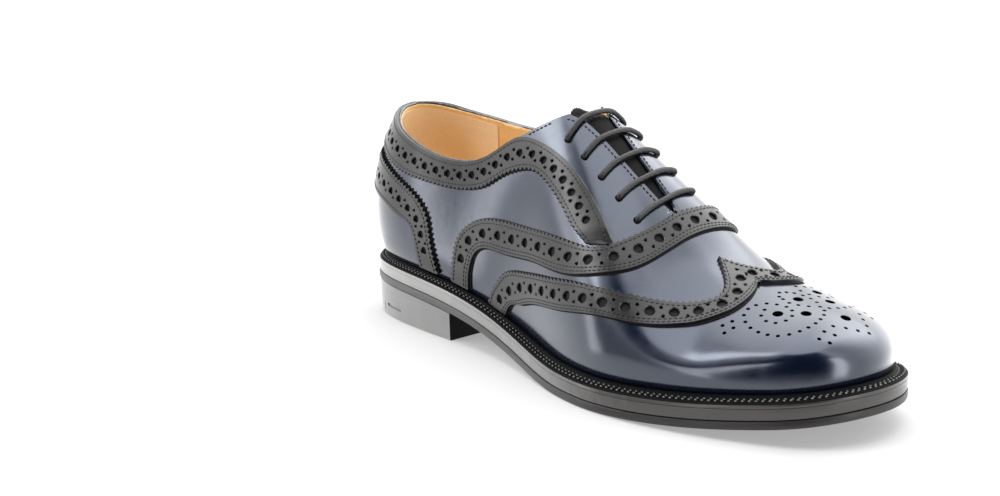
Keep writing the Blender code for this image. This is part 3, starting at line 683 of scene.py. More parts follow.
# Sole edge, heel and outsole: paler towards the heel by painted light.
SOLE_EDGE_PAINTED_LIGHT = sole_edge_with_painted_light(
    "sole_edge_wax_painted_light", (0.42, 0.417, 0.413), (0.034, 0.03, 0.028), (0.3, 0.45), 0.5)
HEEL_PAINTED_LIGHT = sole_edge_with_painted_light("heel_wax_painted_light", (0.27, 0.268, 0.266), (0.06, 0.059, 0.058), (0.3, 0.45), 0.4)
RUBBER_PAINTED_LIGHT = sole_edge_with_painted_light("sole_rubber_painted_light", (0.12, 0.12, 0.121), (0.014, 0.012, 0.0115), (0.45, 0.6), 0.1)
CORD = matt("waxed_cord", (0.010, 0.010, 0.011), (0.022, 0.022, 0.023), (0.38, 0.5), 0.35, 0.03)


def wall_columns():
    """Columns of the fine upper, closer where the facing's corner and the throat's end turn."""
    fine = [column(np.arange(first, end, FINE_STEP)) for first, end in FINE_SPANS]
    half = np.unique(np.concatenate([np.linspace(0, 1, UPPER_COLUMNS + 1), *fine]).round(6))
    return np.concatenate([-half[:0:-1], half])


def pace_at(v, top):
    """Millimetres for a unit of rise, just under a rise."""
    return np.linalg.norm(last(v, top) - last(v, top - RISE_STEP), axis=-1) / RISE_STEP


def upper_wall(name, outside, inside, drop, surface):
    """A wall of the upper between two offsets, its open top edge rounded and lowered by drop."""
    v = WALL_COLUMNS
    top = WALL_TOPS
    is_open = top < 1
    high = np.where(is_open, top - (drop + RIM) / pace_at(v, top), 1)
    tuck = np.linspace(0, TUCK, TUCK_ROWS, endpoint=False)
    rise = np.linspace(0, 1, UPPER_ROWS - TUCK_ROWS + 1)
    w = np.concatenate([np.repeat(tuck[None], len(v), 0), TUCK + rise * (high[:, None] - TUCK)], 1)
    vv = np.repeat(v[:, None], w.shape[1], 1)
    out = normal(vv, w)
    body = last(vv, w)
    upward = unit(body[:, -1] - last(v, high - RISE_STEP)) * is_open[:, None]
    sides = []
    for offset, step in ((outside, -RIM), (inside, RIM)):
        grid = body + out * offset
        rim = grid[:, -1] + (out[:, -1] * step + upward * RIM) * is_open[:, None]
        sides.append(np.concatenate([grid, rim[:, None]], 1))
    columns, rows = sides[0].shape[:2]
    start = columns * rows
    faces = grid_faces(columns, rows) + grid_faces(columns, rows, start)
    for i in range(columns - 1):
        low, high = i * rows, (i + 1) * rows
        faces.append((low, high, high + start, low + start))
        if is_open[i] or is_open[i + 1]:
            low += rows - 1
            high += rows - 1
            faces.append((high, low, low + start, high + start))
    points = np.concatenate([sides[0].reshape(-1, 3), sides[1].reshape(-1, 3)])
    return add_mesh(name, points, faces, [surface])


def square_to(out):
    """Two directions square to each given direction."""
    side = np.cross(out, (0.0, 0.0, 1.0))
    flat = np.linalg.norm(side, axis=-1, keepdims=True) < 0.05
    side = unit(np.where(flat, np.cross(out, (0.0, 1.0, 0.0)), side))
    return side, np.cross(out, side)


def subtract(obj, cutter, smooth_as_before=True):
    """Cuts a closed shape out of an object, which may keep its smooth shading beside the cut."""
    guide = bpy.data.objects.new("guide", obj.data.copy())
    bpy.context.scene.collection.objects.link(guide)
    cut = obj.modifiers.new("cut", "BOOLEAN")
    cut.operation = "DIFFERENCE"
    cut.solver = "EXACT"
    cut.material_mode = "TRANSFER"
    cut.object = cutter
    if smooth_as_before:
        shade = obj.modifiers.new("shade", "DATA_TRANSFER")
        shade.object = guide
        shade.use_loop_data = True
        shade.data_types_loops = {"CUSTOM_NORMAL"}
        shade.loop_mapping = "POLYINTERP_NEAREST"
    obj_now = obj.evaluated_get(bpy.context.evaluated_depsgraph_get())
    done = bpy.data.meshes.new_from_object(obj_now)
    obj.modifiers.clear()
    obj.data = done
    if not smooth_as_before:
        done.set_sharp_from_angle(angle=math.radians(CUT_ANGLE))
    bpy.data.objects.remove(guide)
    bpy.data.objects.remove(cutter)


def punch_out(obj, places, sides=20):
    """Cuts round holes whose walls and floors are painted shade: places are (point, direction, radius, reach
    above, depth).
    """
    angle = turns(sides)
    points = []
    faces = []
    for place, out, radius, above, depth in places:
        side, up = square_to(np.asarray(out)[None])
        ring = radius * (np.cos(angle)[:, None] * side + np.sin(angle)[:, None] * up)
        start = len(points)
        points += list(place + out * above + ring) + list(place - out * depth + ring)
        faces += ring_faces(2, sides, start)
        faces.append(tuple(start + k for k in range(sides)))
        faces.append(tuple(start + sides + k for k in reversed(range(sides))))
    subtract(obj, add_mesh(obj.name + "_punch", points, faces, [PIT_PAINTED_SHADE]))


def toe_ornament():
    """Pits of the toe's ornament, the same on both sides of its middle line."""
    scroll = smooth(SCROLL)
    turn = np.linspace(SCROLL[0][0], SCROLL[-1][0], 400)
    radius = scroll(turn)[:, 0]
    eye = np.array(ORNAMENT_BIGS[-1])
    angle = np.radians(turn)
    line = eye + np.column_stack([radius * np.cos(angle), radius * np.sin(angle)])
    way = lengths(line)
    even = np.linspace(0, way[-1], int(way[-1] / SCROLL_PITCH) + 1)
    small = ORNAMENT_SMALLS + list(zip(np.interp(even, way, line[:, 0]), np.interp(even, way, line[:, 1])))
    half = np.linspace(0.62, 1, 320)
    v, w = np.meshgrid(np.concatenate([half, -half]), np.linspace(0.3, 1, 240), indexing="ij")
    toe = last(v, w)
    pits = []
    for spots, size in ((ORNAMENT_BIGS, ORNAMENT_BIG), (small, ORNAMENT_SMALL)):
        for forward, beside in spots:
            for side in (-1, 1) if beside else (1,):
                x = ORNAMENT_AT[0] + forward + side * beside * ORNAMENT_SLANT
                y = ORNAMENT_AT[1] + forward * ORNAMENT_SLANT - side * beside
                near = np.argmin((toe[..., 0] - x)**2 + (toe[..., 1] - y)**2)
                v_pit, w_pit = v.flat[near], w.flat[near]
                pits.append((last(v_pit, w_pit), normal(v_pit, w_pit), size, 1.0, PIT_DEPTH))
    return pits


def eyelets():
    """Place and outward direction of the eyelets: a list of (outer, inner) pairs from the top."""
    pairs = []
    for k in range(EYELETS):
        pair = []
        for side in (1, -1):
            v, w = spot(EYELET_X + k * EYELET_PITCH, side * EYELET_OUT)
            pair.append((last(v, w), normal(v, w)))
        pairs.append(pair)
    return pairs


def build_upper():
    """The upper: polished leather outside, lining inside, pierced by the eyelets; a suede heel pocket."""
    skin = upper_wall("upper_leather", 0.0, -LEATHER, 0.0, NAVY)
    lining = upper_wall("upper_lining", -LEATHER - LAYER_GAP, -WALL, LINING_DROP, LINING)
    holes = [(place, out, EYELET_HOLE, *EYELET_PUNCH) for pair in eyelets() for place, out in pair]
    # The eyelets and the toe's pits get walls and floors of painted shade.
    punch_out(skin, holes + toe_ornament())
    punch_out(lining, holes)
    place_piece(skin, "upper")
    place_piece(lining)
    v = np.linspace(-1, 1, 81) * column(SUEDE_STATION)
    foot, gap = 0.05, 0.022
    w = foot + (trim(v) - gap - foot)[:, None] * np.linspace(0, 1, 40)
    v = np.repeat(v[:, None], w.shape[1], 1)
    layers = [shell(v, w, np.full(v.shape, -WALL - deep)) for deep in (LAYER_GAP, SUEDE_THICK)]
    place_piece(add_mesh("heel_pocket", *closed_sheet(*layers), [SUEDE]))


def edge_line(v, below):
    """Columns and rises of a line at a distance below the upper's top edge."""
    top = trim(v)
    return v, top - below / pace_at(v, top)


def build_facing_stitches():
    """Stitches beside the throat and under the facings' top edge."""
    throat = np.array(THROAT)
    parts = []
    for side in (1, -1):
        x = np.arange(*FACING_ROW)
        beside = np.interp(x, throat[:, 0], throat[:, 1]) + FACING_SEAM
        places = np.array([spot(one, side * far) for one, far in zip(x, beside)])
        rows = [places.T, edge_line(side * column(np.arange(*FACING_TOP_ROW)), FACING_SEAM)]
        for v, w in rows:
            out = normal(v, w)
            parts.append(stitch_row(last(v, w), out, STITCH_PITCH, STITCH_LENGTH, FACING_STITCH))
    place_piece(add_mesh("facing_stitches", *join(parts), [THREAD]))


class Ribbon:
    """A strip of leather on the last: its outer half, then its inner half, joined at its middle.

    A place on it is the way along it and the distance from its middle line, both in millimetres.
    """

    def __init__(self, outer, inner):
        self.halves = []
        for side, edges in ((1, outer), (-1, inner)):
            across = [self.mix(edges, share) for share in np.linspace(0, 1, 7)]
            lines = np.array([last(side * v, w) for v, w in across])
            width = np.linalg.norm(np.diff(lines, axis=0), axis=-1).sum(0)
            self.halves.append((lengths(lines[3]), edges, width))
        self.split = self.halves[0][0][-1]
        self.length = self.split + self.halves[1][0][-1]

    @staticmethod
    def mix(edges, share):
        v = edges[:, 0] + (edges[:, 2] - edges[:, 0]) * share
        w = edges[:, 1] + (edges[:, 3] - edges[:, 1]) * share
        return v, w

    def rows(self, along):
        along = np.asarray(along, float)
        on_outer = along <= self.split
        found = []
        for half, way in zip(self.halves, (along, self.length - along)):
            table = np.column_stack([half[1], half[2]])
            found.append(np.stack([np.interp(way, half[0], table[:, k]) for k in range(5)], -1))
        rows = np.where(on_outer[:, None], found[0], found[1])
        return rows[:, :4], rows[:, 4], np.where(on_outer, 1, -1)

    def width(self, along):
        return self.rows(along)[1]

    def spot(self, along, beside):
        edges, width, side = self.rows(along)
        v, w = self.mix(edges, 0.5 + np.asarray(beside) / width)
        return side * np.clip(v, 0, 1), np.clip(w, 0, 1)

    def stretch(self, along, beside=0.0):
        """Matrix from small steps (along, beside) to millimetres in the surface at a place."""
        step = 0.2
        a = along + step * np.array([1, -1, 0, 0])
        b = beside + step * np.array([0, 0, 1, -1])
        p = self.at(a, b, 0.0)
        run = (p[0] - p[1]) / (2 * step)
        side = (p[2] - p[3]) / (2 * step)
        length = np.linalg.norm(run)
        shear = side @ run / length
        return np.array([[length, shear], [0, np.linalg.norm(side - shear * run / length)]])

    def at(self, along, beside, offset):
        v, w = self.spot(along, beside)
        return shell(v, w, np.broadcast_to(np.asarray(offset, float), v.shape))


def half_edges(rows):
    """Both edges of half a band, closely sampled, as columns and rises."""
    rows = np.array(rows, float)
    flat = np.column_stack([column(rows[:, 0]), rows[:, 1], column(rows[:, 2]), rows[:, 3]])
    knots = lengths(last((flat[:, 0] + flat[:, 2]) / 2, (flat[:, 1] + flat[:, 3]) / 2))
    return np.clip(spline(knots, flat)(np.linspace(0, knots[-1], BAND_SAMPLES)), 0, 1)


def mirrored_ribbon(rows):
    """A band that is the same on both sides."""
    outer = half_edges(rows)
    inner = outer.copy()
    for k in (0, 2):
        inner[:, k + 1] = across_to(outer[:, k], outer[:, k + 1])
    return Ribbon(outer, inner)


def collar_ribbon():
    """The band around the collar and down both facings."""
    facing = np.array(FACING_BAND, float)
    inner = facing.copy()
    for k in (0, 2):
        inner[:, k + 1] = across_to(column(facing[:, k]), facing[:, k + 1])
    halves = []
    for side, rows in ((1, facing), (-1, inner)):
        collar = []
        for s, width in COLLAR_BAND:
            edge = trim(side * column(s))[0] - COLLAR_REVEAL
            collar.append((s, edge, s, edge - width))
        halves.append(half_edges(list(rows) + collar))
    return Ribbon(*halves)


def tooth_row(teeth):
    """Places from 0 to 1 along a pinked edge, and the edge's depth at each."""
    places = (np.arange(teeth)[:, None] + np.array(TOOTH_AT)).ravel() / teeth
    depths = np.tile(np.array(TOOTH_IN) * TOOTH_DEPTH, teeth)
    return np.append(places, 1.0), np.append(depths, TOOTH_DEPTH)


def pinked_outline(ribbon, pinked):
    """The band's outline, anticlockwise: teeth along one edge, the other edge plain."""
    along = np.linspace(0, ribbon.length, int(ribbon.length / 0.5))
    way = lengths(ribbon.at(along, pinked * ribbon.width(along) / 2, 0))
    places, depths = tooth_row(int(round(way[-1] / TOOTH_PITCH)))
    tooth = np.interp(places * way[-1], way, along)
    toothed = np.column_stack([tooth, pinked * (ribbon.width(tooth) / 2 - depths)])
    even = np.linspace(0, ribbon.length, int(ribbon.length / 1.2))
    plain = np.column_stack([even, -pinked * ribbon.width(even) / 2])
    loop = np.concatenate([toothed, plain[::-1]])
    return loop if pinked < 0 else loop[::-1]


def brogue_holes(ribbon, pitch, big, margin):
    """Big holes along the middle, a slanting pair of small ones between: (along, beside, radius)."""
    holes = []
    for sign, length in ((-1, ribbon.split), (1, ribbon.length - ribbon.split)):
        for k in range(int((length - margin) / pitch + 0.5)):
            holes.append((ribbon.split + sign * (k + 0.5) * pitch, 0.0, big))
            middle = ribbon.split + sign * k * pitch
            for beside in (-1, 1) if k > 0 or sign > 0 else ():
                step = np.linalg.solve(ribbon.stretch(middle), beside * np.array(SMALL_PAIR))
                holes.append((middle + step[0], step[1], SMALL_HOLE))
    return holes


def inset(loop, depth):
    """An anticlockwise loop moved inward by depth."""
    run = unit(np.roll(loop, -1, 0) - np.roll(loop, 1, 0))
    return loop + np.column_stack([-run[:, 1], run[:, 0]]) * depth


def cut_strip(ribbon, outline, holes, tuck):
    """Points and faces of a strip cut to an outline, with round holes, soft edges and lowered ends."""
    loops = [(inset(outline, BAND_BEVEL), outline)]
    metrics = [ribbon.stretch(along, beside) for along, beside, _ in holes]
    for (along, beside, radius), metric in zip(holes, metrics):
        sides = 20 if radius > 1 else 10
        turn = turns(sides)
        ring = np.linalg.solve(metric, np.stack([np.cos(turn), np.sin(turn)])).T
        loops.append(((along, beside) + ring * (radius + HOLE_BEVEL), (along, beside) + ring * radius))

    def from_holes(places):
        """Least distance of each place from a hole's edge."""
        away = [np.linalg.norm((places - (along, beside)) @ metric.T, axis=1) - radius
                for (along, beside, radius), metric in zip(holes, metrics)]
        return np.min(away, axis=0)
    grid = []
    for along in np.arange(1.0, ribbon.length - 0.5, 2.0):
        half = ribbon.width(np.array([along]))[0] / 2 - TOOTH_DEPTH - 0.5
        grid += [(along, share * half) for share in np.linspace(-1, 1, 7)]
    grid = np.array(grid)
    grid = grid[from_holes(grid) > 0.5]
    flat = np.concatenate([loop[0] for loop in loops] + [grid])
    edges = []
    start = 0
    for loop in loops:
        n = len(loop[0])
        edges += [(start + k, start + (k + 1) % n) for k in range(n)]
        start += n
    cap, _, faces, origins, _, _ = delaunay_2d_cdt([tuple(p) for p in flat], edges, [], 1, 1e-5)
    cap = np.array([tuple(p) for p in cap])
    found = {one: k for k, many in enumerate(origins) for one in many}
    kept = np.array(faces)[from_holes(cap[np.array(faces)].mean(1)) > 0.9 * HOLE_BEVEL]
    n = len(cap)
    plan = [cap, cap]
    heights = [np.full(n, BAND_HIGH), np.full(n, BAND_FOOT)]
    solid = kept.tolist() + (kept[:, ::-1] + n).tolist()
    start = 0
    base = 2 * n
    for loop, bevel in zip(loops, [BAND_BEVEL] + [HOLE_BEVEL] * len(holes)):
        count = len(loop[1])
        top = np.array([found[start + k] for k in range(count)])
        chain = [top, base + np.arange(count), base + count + np.arange(count), top + n]
        for low, high in zip(chain, chain[1:]):
            solid += np.stack([low, np.roll(low, -1), np.roll(high, -1), high], -1).tolist()
        plan += [loop[1], loop[1]]
        heights += [np.full(count, BAND_HIGH - bevel), np.full(count, BAND_FOOT)]
        start += count
        base += 2 * count
    plan = np.concatenate(plan)
    heights = np.concatenate(heights)
    if tuck:
        to_end = np.minimum(plan[:, 0], ribbon.length - plan[:, 0])
        heights -= np.where(heights > BAND_FOOT, TUCK_DROP * np.clip(1 - to_end / TUCK_UNDER, 0, 1), 0)
    return ribbon.at(plan[:, 0], plan[:, 1], heights), solid


def stitch_row(points, out, pitch, length, radius):
    """Points and faces of a row of stitches along a line on a surface, each a short rounded bar."""
    way = lengths(points)
    count = max(1, int(way[-1] / pitch))
    at = (np.arange(count) + 0.5) / count * way[-1]

    def read(values, where):
        return np.stack([np.interp(where, way, values[:, k]) for k in range(3)], -1)
    centre = read(points, at)
    run = unit(read(points, at + 0.3) - read(points, at - 0.3))
    up = unit(read(out, at))
    side = np.cross(up, run)
    sides = 6
    profile = [(-0.5, 0.3), (-0.36, 0.85), (0.0, 1.0), (0.36, 0.85), (0.5, 0.3)]
    rings = []
    for share, thick in profile:
        arch = (1 - (2 * share)**2) * 0.5 * radius
        for a in turns(sides):
            rings.append(centre + run * share * length + side * radius * thick * math.cos(a)
                         + up * (radius * thick * math.sin(a) + arch))
    block = np.stack(rings, 1)
    each = len(profile) * sides
    faces = ring_faces(len(profile), sides)
    ends = [tuple(range(sides))[::-1], tuple(range(each - sides, each))]
    quads = (np.array(faces)[None] + (np.arange(count) * each)[:, None, None]).reshape(-1, 4).tolist()
    caps = [tuple(i + each * k for i in end) for k in range(count) for end in ends]
    return block.reshape(-1, 3), quads + caps


def join(parts):
    """Points and faces of several shapes as one."""
    points = []
    faces = []
    start = 0
    for one, these in parts:
        points.append(one)
        faces += [tuple(i + start for i in face) for face in these]
        start += len(one)
    return np.concatenate(points), faces


def band_stitches(ribbon, pinked, rows):
    """Rows of stitches along a band: each row is the edge's sign and the distance in from it."""
    parts = []
    for sign, distance in rows:
        along = np.linspace(0.8, ribbon.length - 0.8, int(ribbon.length))
        beside = sign * pinked * (ribbon.width(along) / 2 - distance)
        v, w = ribbon.spot(along, beside)
        out = normal(v, w)
        parts.append(stitch_row(last(v, w) + out * BAND_HIGH, out, STITCH_PITCH, STITCH_LENGTH, STITCH))
    return join(parts)


def band_backing(ribbon, pinked, fold):
    """Points and faces of a dark sheet under a band, painted shade: in holes, between teeth, beside the
    fold.
    """
    along = np.linspace(0.5, ribbon.length - 0.5, int(ribbon.length / 1.2))
    half = ribbon.width(along)[:, None] / 2
    share = np.linspace(0, 1, 9)[None]
    low, high = -half - fold, half - 0.2
    b = pinked * (low + (high - low) * share)
    a = np.repeat(along[:, None], share.shape[1], 1)
    sheets = [ribbon.at(a.ravel(), b.ravel(), offset).reshape(*a.shape, 3) for offset in (0.3, 0.05)]
    return closed_sheet(*sheets)


def build_bands():
    """The four brogue bands with their sheets of painted shade and stitches."""
    inner_rows = [(1, 2.3), (-1, 1.2), (-1, 2.7)]
    outer_rows = [(1, 2.3), (-1, 2.0)]
    # Columns: name, strip, pinked side, hole pitch, big hole, end margin, stitch rows, painted shadow line,
    # tuck
    plans = [
        ("wing_band", mirrored_ribbon(WING_BAND), -1, 9.3, BIG_HOLE, 3.0, inner_rows, FOLD_SHADOW, False),
        ("vamp_band", mirrored_ribbon(VAMP_BAND), -1, 10.1, BIG_HOLE, 5.0, inner_rows, FOLD_SHADOW, False),
        ("counter_band", mirrored_ribbon(COUNTER_BAND), -1, 7.4, 1.6, 4.0, outer_rows, 0.3, False),
        ("collar_band", collar_ribbon(), 1, 7.4, 1.6, 8.0, outer_rows, -0.1, True)]
    for name, ribbon, pinked, pitch, big, margin, rows, fold, tuck in plans:
        holes = brogue_holes(ribbon, pitch, big, margin)
        points, faces = cut_strip(ribbon, pinked_outline(ribbon, pinked), holes, tuck)
        place_piece(add_mesh(name + "_cut", points, faces, [CHARCOAL], 35), name)
        place_piece(add_mesh(name + "_painted_shade_sheet", *band_backing(ribbon, pinked, fold), [PIT_PAINTED_SHADE]))
        stitches = add_mesh(name + "_stitches", *band_stitches(ribbon, pinked, rows), [THREAD])
        place_piece(stitches)


def tube(points, radius, sides):
    """Points and faces of a closed tube along points; radius is worked out from the way and the turn."""
    run = unit(np.gradient(points, axis=0))
    side = np.zeros_like(points)
    side[0] = square_to(run[:1])[0][0]
    for k in range(1, len(points)):
        one = side[k - 1] - run[k] * np.dot(side[k - 1], run[k])
        side[k] = one / np.linalg.norm(one)
    up = np.cross(run, side)
    turn = turns(sides)
    thick = radius(lengths(points)[:, None], turn[None])[..., None]
    rings = points[:, None] + thick * (side[:, None] * np.cos(turn)[None, :, None]
                                       + up[:, None] * np.sin(turn)[None, :, None])
    n = len(points)
    ends = [tuple(range(sides))[::-1], tuple(range((n - 1) * sides, n * sides))]
    return rings.reshape(-1, 3), ring_faces(n, sides) + ends


def lace_route():
    """The lace: five bars over the throat, joined by runs under the facings, ending at the top inside."""
    pairs = eyelets()
    route = []
    for k in range(EYELETS):
        x = EYELET_X + k * EYELET_PITCH
        outer, inner = pairs[k]
        bar = [outer[0] - outer[1] * LACE_DEPTH, outer[0], outer[0] + outer[1] * LACE_AT_EYELET]
        lifts = [(share, LACE_LIFT) for share in LACE_BAR] + [(-share, lift) for share, lift in LACE_LOOP]
        for share, lift in lifts:
            v, w = spot(x, share * EYELET_OUT)
            bar.append(shell(v, w, lift))
        bar += [inner[0] - inner[1], inner[0] - inner[1] * LACE_DEPTH]
        to_inner = k % 2 == 0
        route += bar if to_inner else bar[::-1]
        if k < EYELETS - 1:
            v, w = spot(x + EYELET_PITCH / 2, EYELET_OUT * (-1 if to_inner else 1))
            route.append(shell(v, w, -LACE_DEPTH))
    return route


def braid(way, turn):
    """Radius of a round braided cord: strands that cross in both directions."""
    strands = 4
    lay = 2 * np.pi / 3.2
    first = np.cos(strands * turn + lay * way)
    second = np.cos(strands * turn - lay * way)
    return LACE * (0.955 + 0.045 * np.maximum(first, second))


def build_lace():
    """The lace as a round braided cord."""
    points, faces = tube(through(lace_route(), 0.32), braid, 24)
    place_piece(add_mesh("lace_cord", points, faces, [CORD], 60), "laces")


def build_tongue():
    """The tongue: near-black, dull leather that partly paints the throat's shade, with a pinked top and a
    tan lining under it.
    """
    places, depths = tooth_row(TONGUE_TEETH)
    u = (2 * places - 1)[None]
    t = np.linspace(0, 1, 70)[:, None]
    for name, slot, node, surface, step, thick, short in (
            ("tongue_leather", "upper_leather", "tongue", TONGUE_DARK_PAINTED_SHADE, 0.0, 1.0, 0.0),
            ("tongue_lining", "lining_leather", None, LINING, 1.05, TONGUE - 1.05, 2.0)):
        top = TONGUE_TOP + TONGUE_CORNER * u**2 + (depths if node else short)
        s = top + t * (TONGUE_FRONT - top)
        v = np.where(u < 0, -1, 1) * column(s)
        w = np.broadcast_to(1 - (1 - TONGUE_SIDE) * np.abs(u), v.shape)
        under_lace = LACE_DEPTH + LACE + TONGUE_CLEAR
        under_vamp = WALL + 2 * GAP
        climb = np.clip((s - TONGUE_CLIMB) / (TONGUE_SEAT - TONGUE_CLIMB), 0, 1)
        climb = climb**2 * (3 - 2 * climb)
        swell = np.clip((SWELL_SPAN[1] - np.abs(u)) / (SWELL_SPAN[1] - SWELL_SPAN[0]), 0, 1)
        swell = swell * np.clip((s - top) / SWELL_START, 0, 1)
        swell = TONGUE_SWELL * swell**2 * (3 - 2 * swell) * (1 - climb)
        deep = under_lace + (under_vamp - under_lace) * climb + step - swell
        points, faces = closed_sheet(shell(v, w, -deep), shell(v, w, -deep - thick))
        place_piece(add_mesh(name, points, faces, [surface]), node)


def sole_layer(name, profile, surfaces, node, inset_at=None):
    """A layer of the sole: an edge profile of (inset, height) from top to bottom, closed above and below."""
    v = np.concatenate([np.linspace(0, 1, SOLE_COLUMNS, False), np.linspace(-1, 0, SOLE_COLUMNS, False)])
    edge, out = edge_at(v)
    more = inset_at(station(v)) if inset_at else np.zeros(len(v))
    rings = []
    for inward, height in profile:
        xy = edge - out * (inward + more)[:, None]
        rings.append(np.column_stack([xy, underside(xy[:, 0]) + height]))
    n = len(v)
    faces = ring_faces(len(profile), n)
    for start in (0, (len(profile) - 1) * n):
        for k in range(SOLE_COLUMNS):
            a, b = start + k, start + k + 1
            c, d = start + (n - k - 1) % n, start + (n - k) % n
            faces.append((a, b, c) if d == a else (a, b, c, d))
    place_piece(add_mesh(name, np.concatenate(rings), faces, surfaces), node)


def build_sole():
    """Outsole, midsole, welt with its stitches, heel block and insole."""
    sole_layer("outsole_rubber", [
        (6, OUTSOLE), (0.6, OUTSOLE), (0.2, OUTSOLE - 0.15), (0, OUTSOLE - 0.5),
        (0, 0.8), (0.2, 0.2), (0.8, 0), (6, 0)], [RUBBER_PAINTED_LIGHT], "outsole")
    high = WELT_LOW - 0.02
    flush = WELT_INSET + 0.05
    sole_layer("midsole_edge", [
        (6, high), (flush + 0.15, high), (flush, high - 0.12), (flush, MIDSOLE_LOW + 0.3),
        (flush + 0.12, MIDSOLE_LOW + 0.05), (flush + 0.5, MIDSOLE_LOW), (6, MIDSOLE_LOW)],
        [SOLE_EDGE_PAINTED_LIGHT], "midsole")
    build_welt()
    build_heel()
    sole_layer("insole_sock", [
        (8, STACK + INSOLE), (0.5, STACK + INSOLE), (0, STACK + INSOLE - 0.5), (0, STACK), (8, STACK)],
        [LINING], "insole",
        lambda x: np.max(foot_at(x)[..., :2], axis=-1) + WALL + INSOLE_CLEAR)


def build_welt():
    """The welt: waxed edge with a bevel, black top crimped between its stitches, a bead beside the upper."""
    steps = 6
    fine = np.linspace(0, 1, 4001)
    v = np.concatenate([fine, fine[1:-1] - 1])
    way = lengths(np.concatenate([edge_at(v)[0], edge_at(v[:1])[0]]))
    count = int(round(way[-1] / WELT_STITCH[0]))
    at = np.arange(count * steps) / (count * steps) * way[-1]
    place = np.interp(at, way, np.concatenate([v[:4001], v[4001:] + 2, [2.0]]))
    v = np.where(place > 1, place - 2, place)
    edge, out = edge_at(v)
    foot = foot_at(station(v))
    margin = np.where(v >= 0, foot[:, 0], foot[:, 1]) - WELT_INSET
    crimp = CRIMP * np.abs(np.cos(np.arange(len(v)) * np.pi / steps))
    top = WELT_LOW + WELT
    # Columns: distance in, share of the way to the upper's foot, height from the top, share of the crimp
    profile = [
        (0.15, 0, -WELT, 0), (0, 0, 0.12 - WELT, 0), (0, 0, -1.45, 0), (0.12, 0, -1.2, 0),
        (0.6, 0, -0.55, 0.2), (0.9, 0, -0.3, 0.5),
        (WELT_BEVEL, 0.12, -0.1, 1), (WELT_BEVEL, 0.35, 0.1, 1), (0.6, 0.5, 0.7, 0.3),
        (0.3, 0.62, 1.3, 0.2), (0, 0.8, 1.3, 0), (0.6, 1.0, 0.4, 0), (WELT_REACH, 0, 0, 0),
        (WELT_REACH, 0, -WELT, 0)]
    # Rows of faces that are pale edge, black top and, inside the upper, tan; the edge's paleness at the heel
    # is painted light
    # The black top and the bead beside the upper stand partly for painted shade in the crevice at the
    # upper's foot.
    pale, black, tan = 3, 8, 1
    rings = []
    for inward, share, height, deep in profile:
        xy = edge - out * (WELT_INSET + inward + share * margin)[:, None]
        rings.append(np.column_stack([xy, underside(xy[:, 0]) + top + height - deep * crimp]))
    n = len(v)
    faces = ring_faces(len(profile), n, loop=True)
    rest = len(profile) - pale - black - tan
    shades = np.repeat([0] * pale + [1] * black + [2] * tan + [0] * rest, n)
    surfaces = [SOLE_EDGE_PAINTED_LIGHT, WELT_TOP_AND_PAINTED_SHADE, LINING]
    welt = add_mesh("welt_strip", np.concatenate(rings), faces, surfaces, 50, shades)
    place_piece(welt, "welt")
    up = np.tile([0.0, 0.0, 1.0], (n, 1))
    rows = []
    for share in WELT_ROWS:
        xy = edge - out * (WELT_INSET + WELT_BEVEL + share * margin)[:, None]
        line = np.column_stack([xy, underside(xy[:, 0]) + top - 0.05])
        rows.append(stitch_row(line, up, *WELT_STITCH))
    place_piece(add_mesh("welt_stitches", *join(rows), [WELT_THREAD_PAINTED_HIGHLIGHT]))


def build_heel():
    """The heel block: waxed sides, flat foot, its top following the outsole, a slot low at the back."""
    v = np.linspace(-column(BREAST_X), column(BREAST_X), 121)
    edge, out = edge_at(v)
    rows = [(1.0, MIDSOLE_INSET + 0.3), (0.985, MIDSOLE_INSET), (0.5, 0.5 * (MIDSOLE_INSET + HEEL_TAPER)),
            (0.03, HEEL_TAPER), (0.0, HEEL_TAPER + 0.4)]
    rings = []
    for share, inward in rows:
        xy = edge - out * inward
        xy[:, 0] = np.minimum(xy[:, 0], BREAST_X)
        rings.append(np.column_stack([xy, (underside(xy[:, 0]) - GAP) * share]))
    n = len(v)
    faces = grid_faces(len(rows), n)
    for start in (0, (len(rows) - 1) * n):
        for k in range(n // 2):
            faces.append((start + k, start + k + 1, start + n - 2 - k, start + n - 1 - k))
    down = [r * n for r in range(len(rows))]
    faces.append(tuple(down) + tuple(first + n - 1 for first in reversed(down)))
    heel = add_mesh("heel_stack", np.concatenate(rings), faces, [HEEL_PAINTED_LIGHT, WELT_TOP_AND_PAINTED_SHADE])
    # The breast face, under the arch, gets the near-black welt top: partly painted shade under the arch.
    for face in heel.data.polygons:
        face.material_index = int(face.normal.x > 0.95)
    for first, final, low, high, depth in HEEL_SLOTS:
        edge, out = edge_at(column(np.linspace(first, final, 12)))
        sides = []
        for inward in (-1.0, HEEL_TAPER + depth):
            xy = edge - out * inward
            sides.append(np.stack([np.column_stack([xy, np.full(len(xy), z)]) for z in (low, high)], 1))
        subtract(heel, add_mesh("slot", *closed_sheet(*sides), [HEEL_PAINTED_LIGHT]), False)
    place_piece(heel, "heel_block")


def stand(obj, right, up, back, place):
    """Puts a camera or a light at a place in metres, looking away from back."""
    matrix = np.eye(4)
    matrix[:3] = np.column_stack([right, up, back, place])
    obj.matrix_world = Matrix(matrix.tolist())
    bpy.context.scene.collection.objects.link(obj)


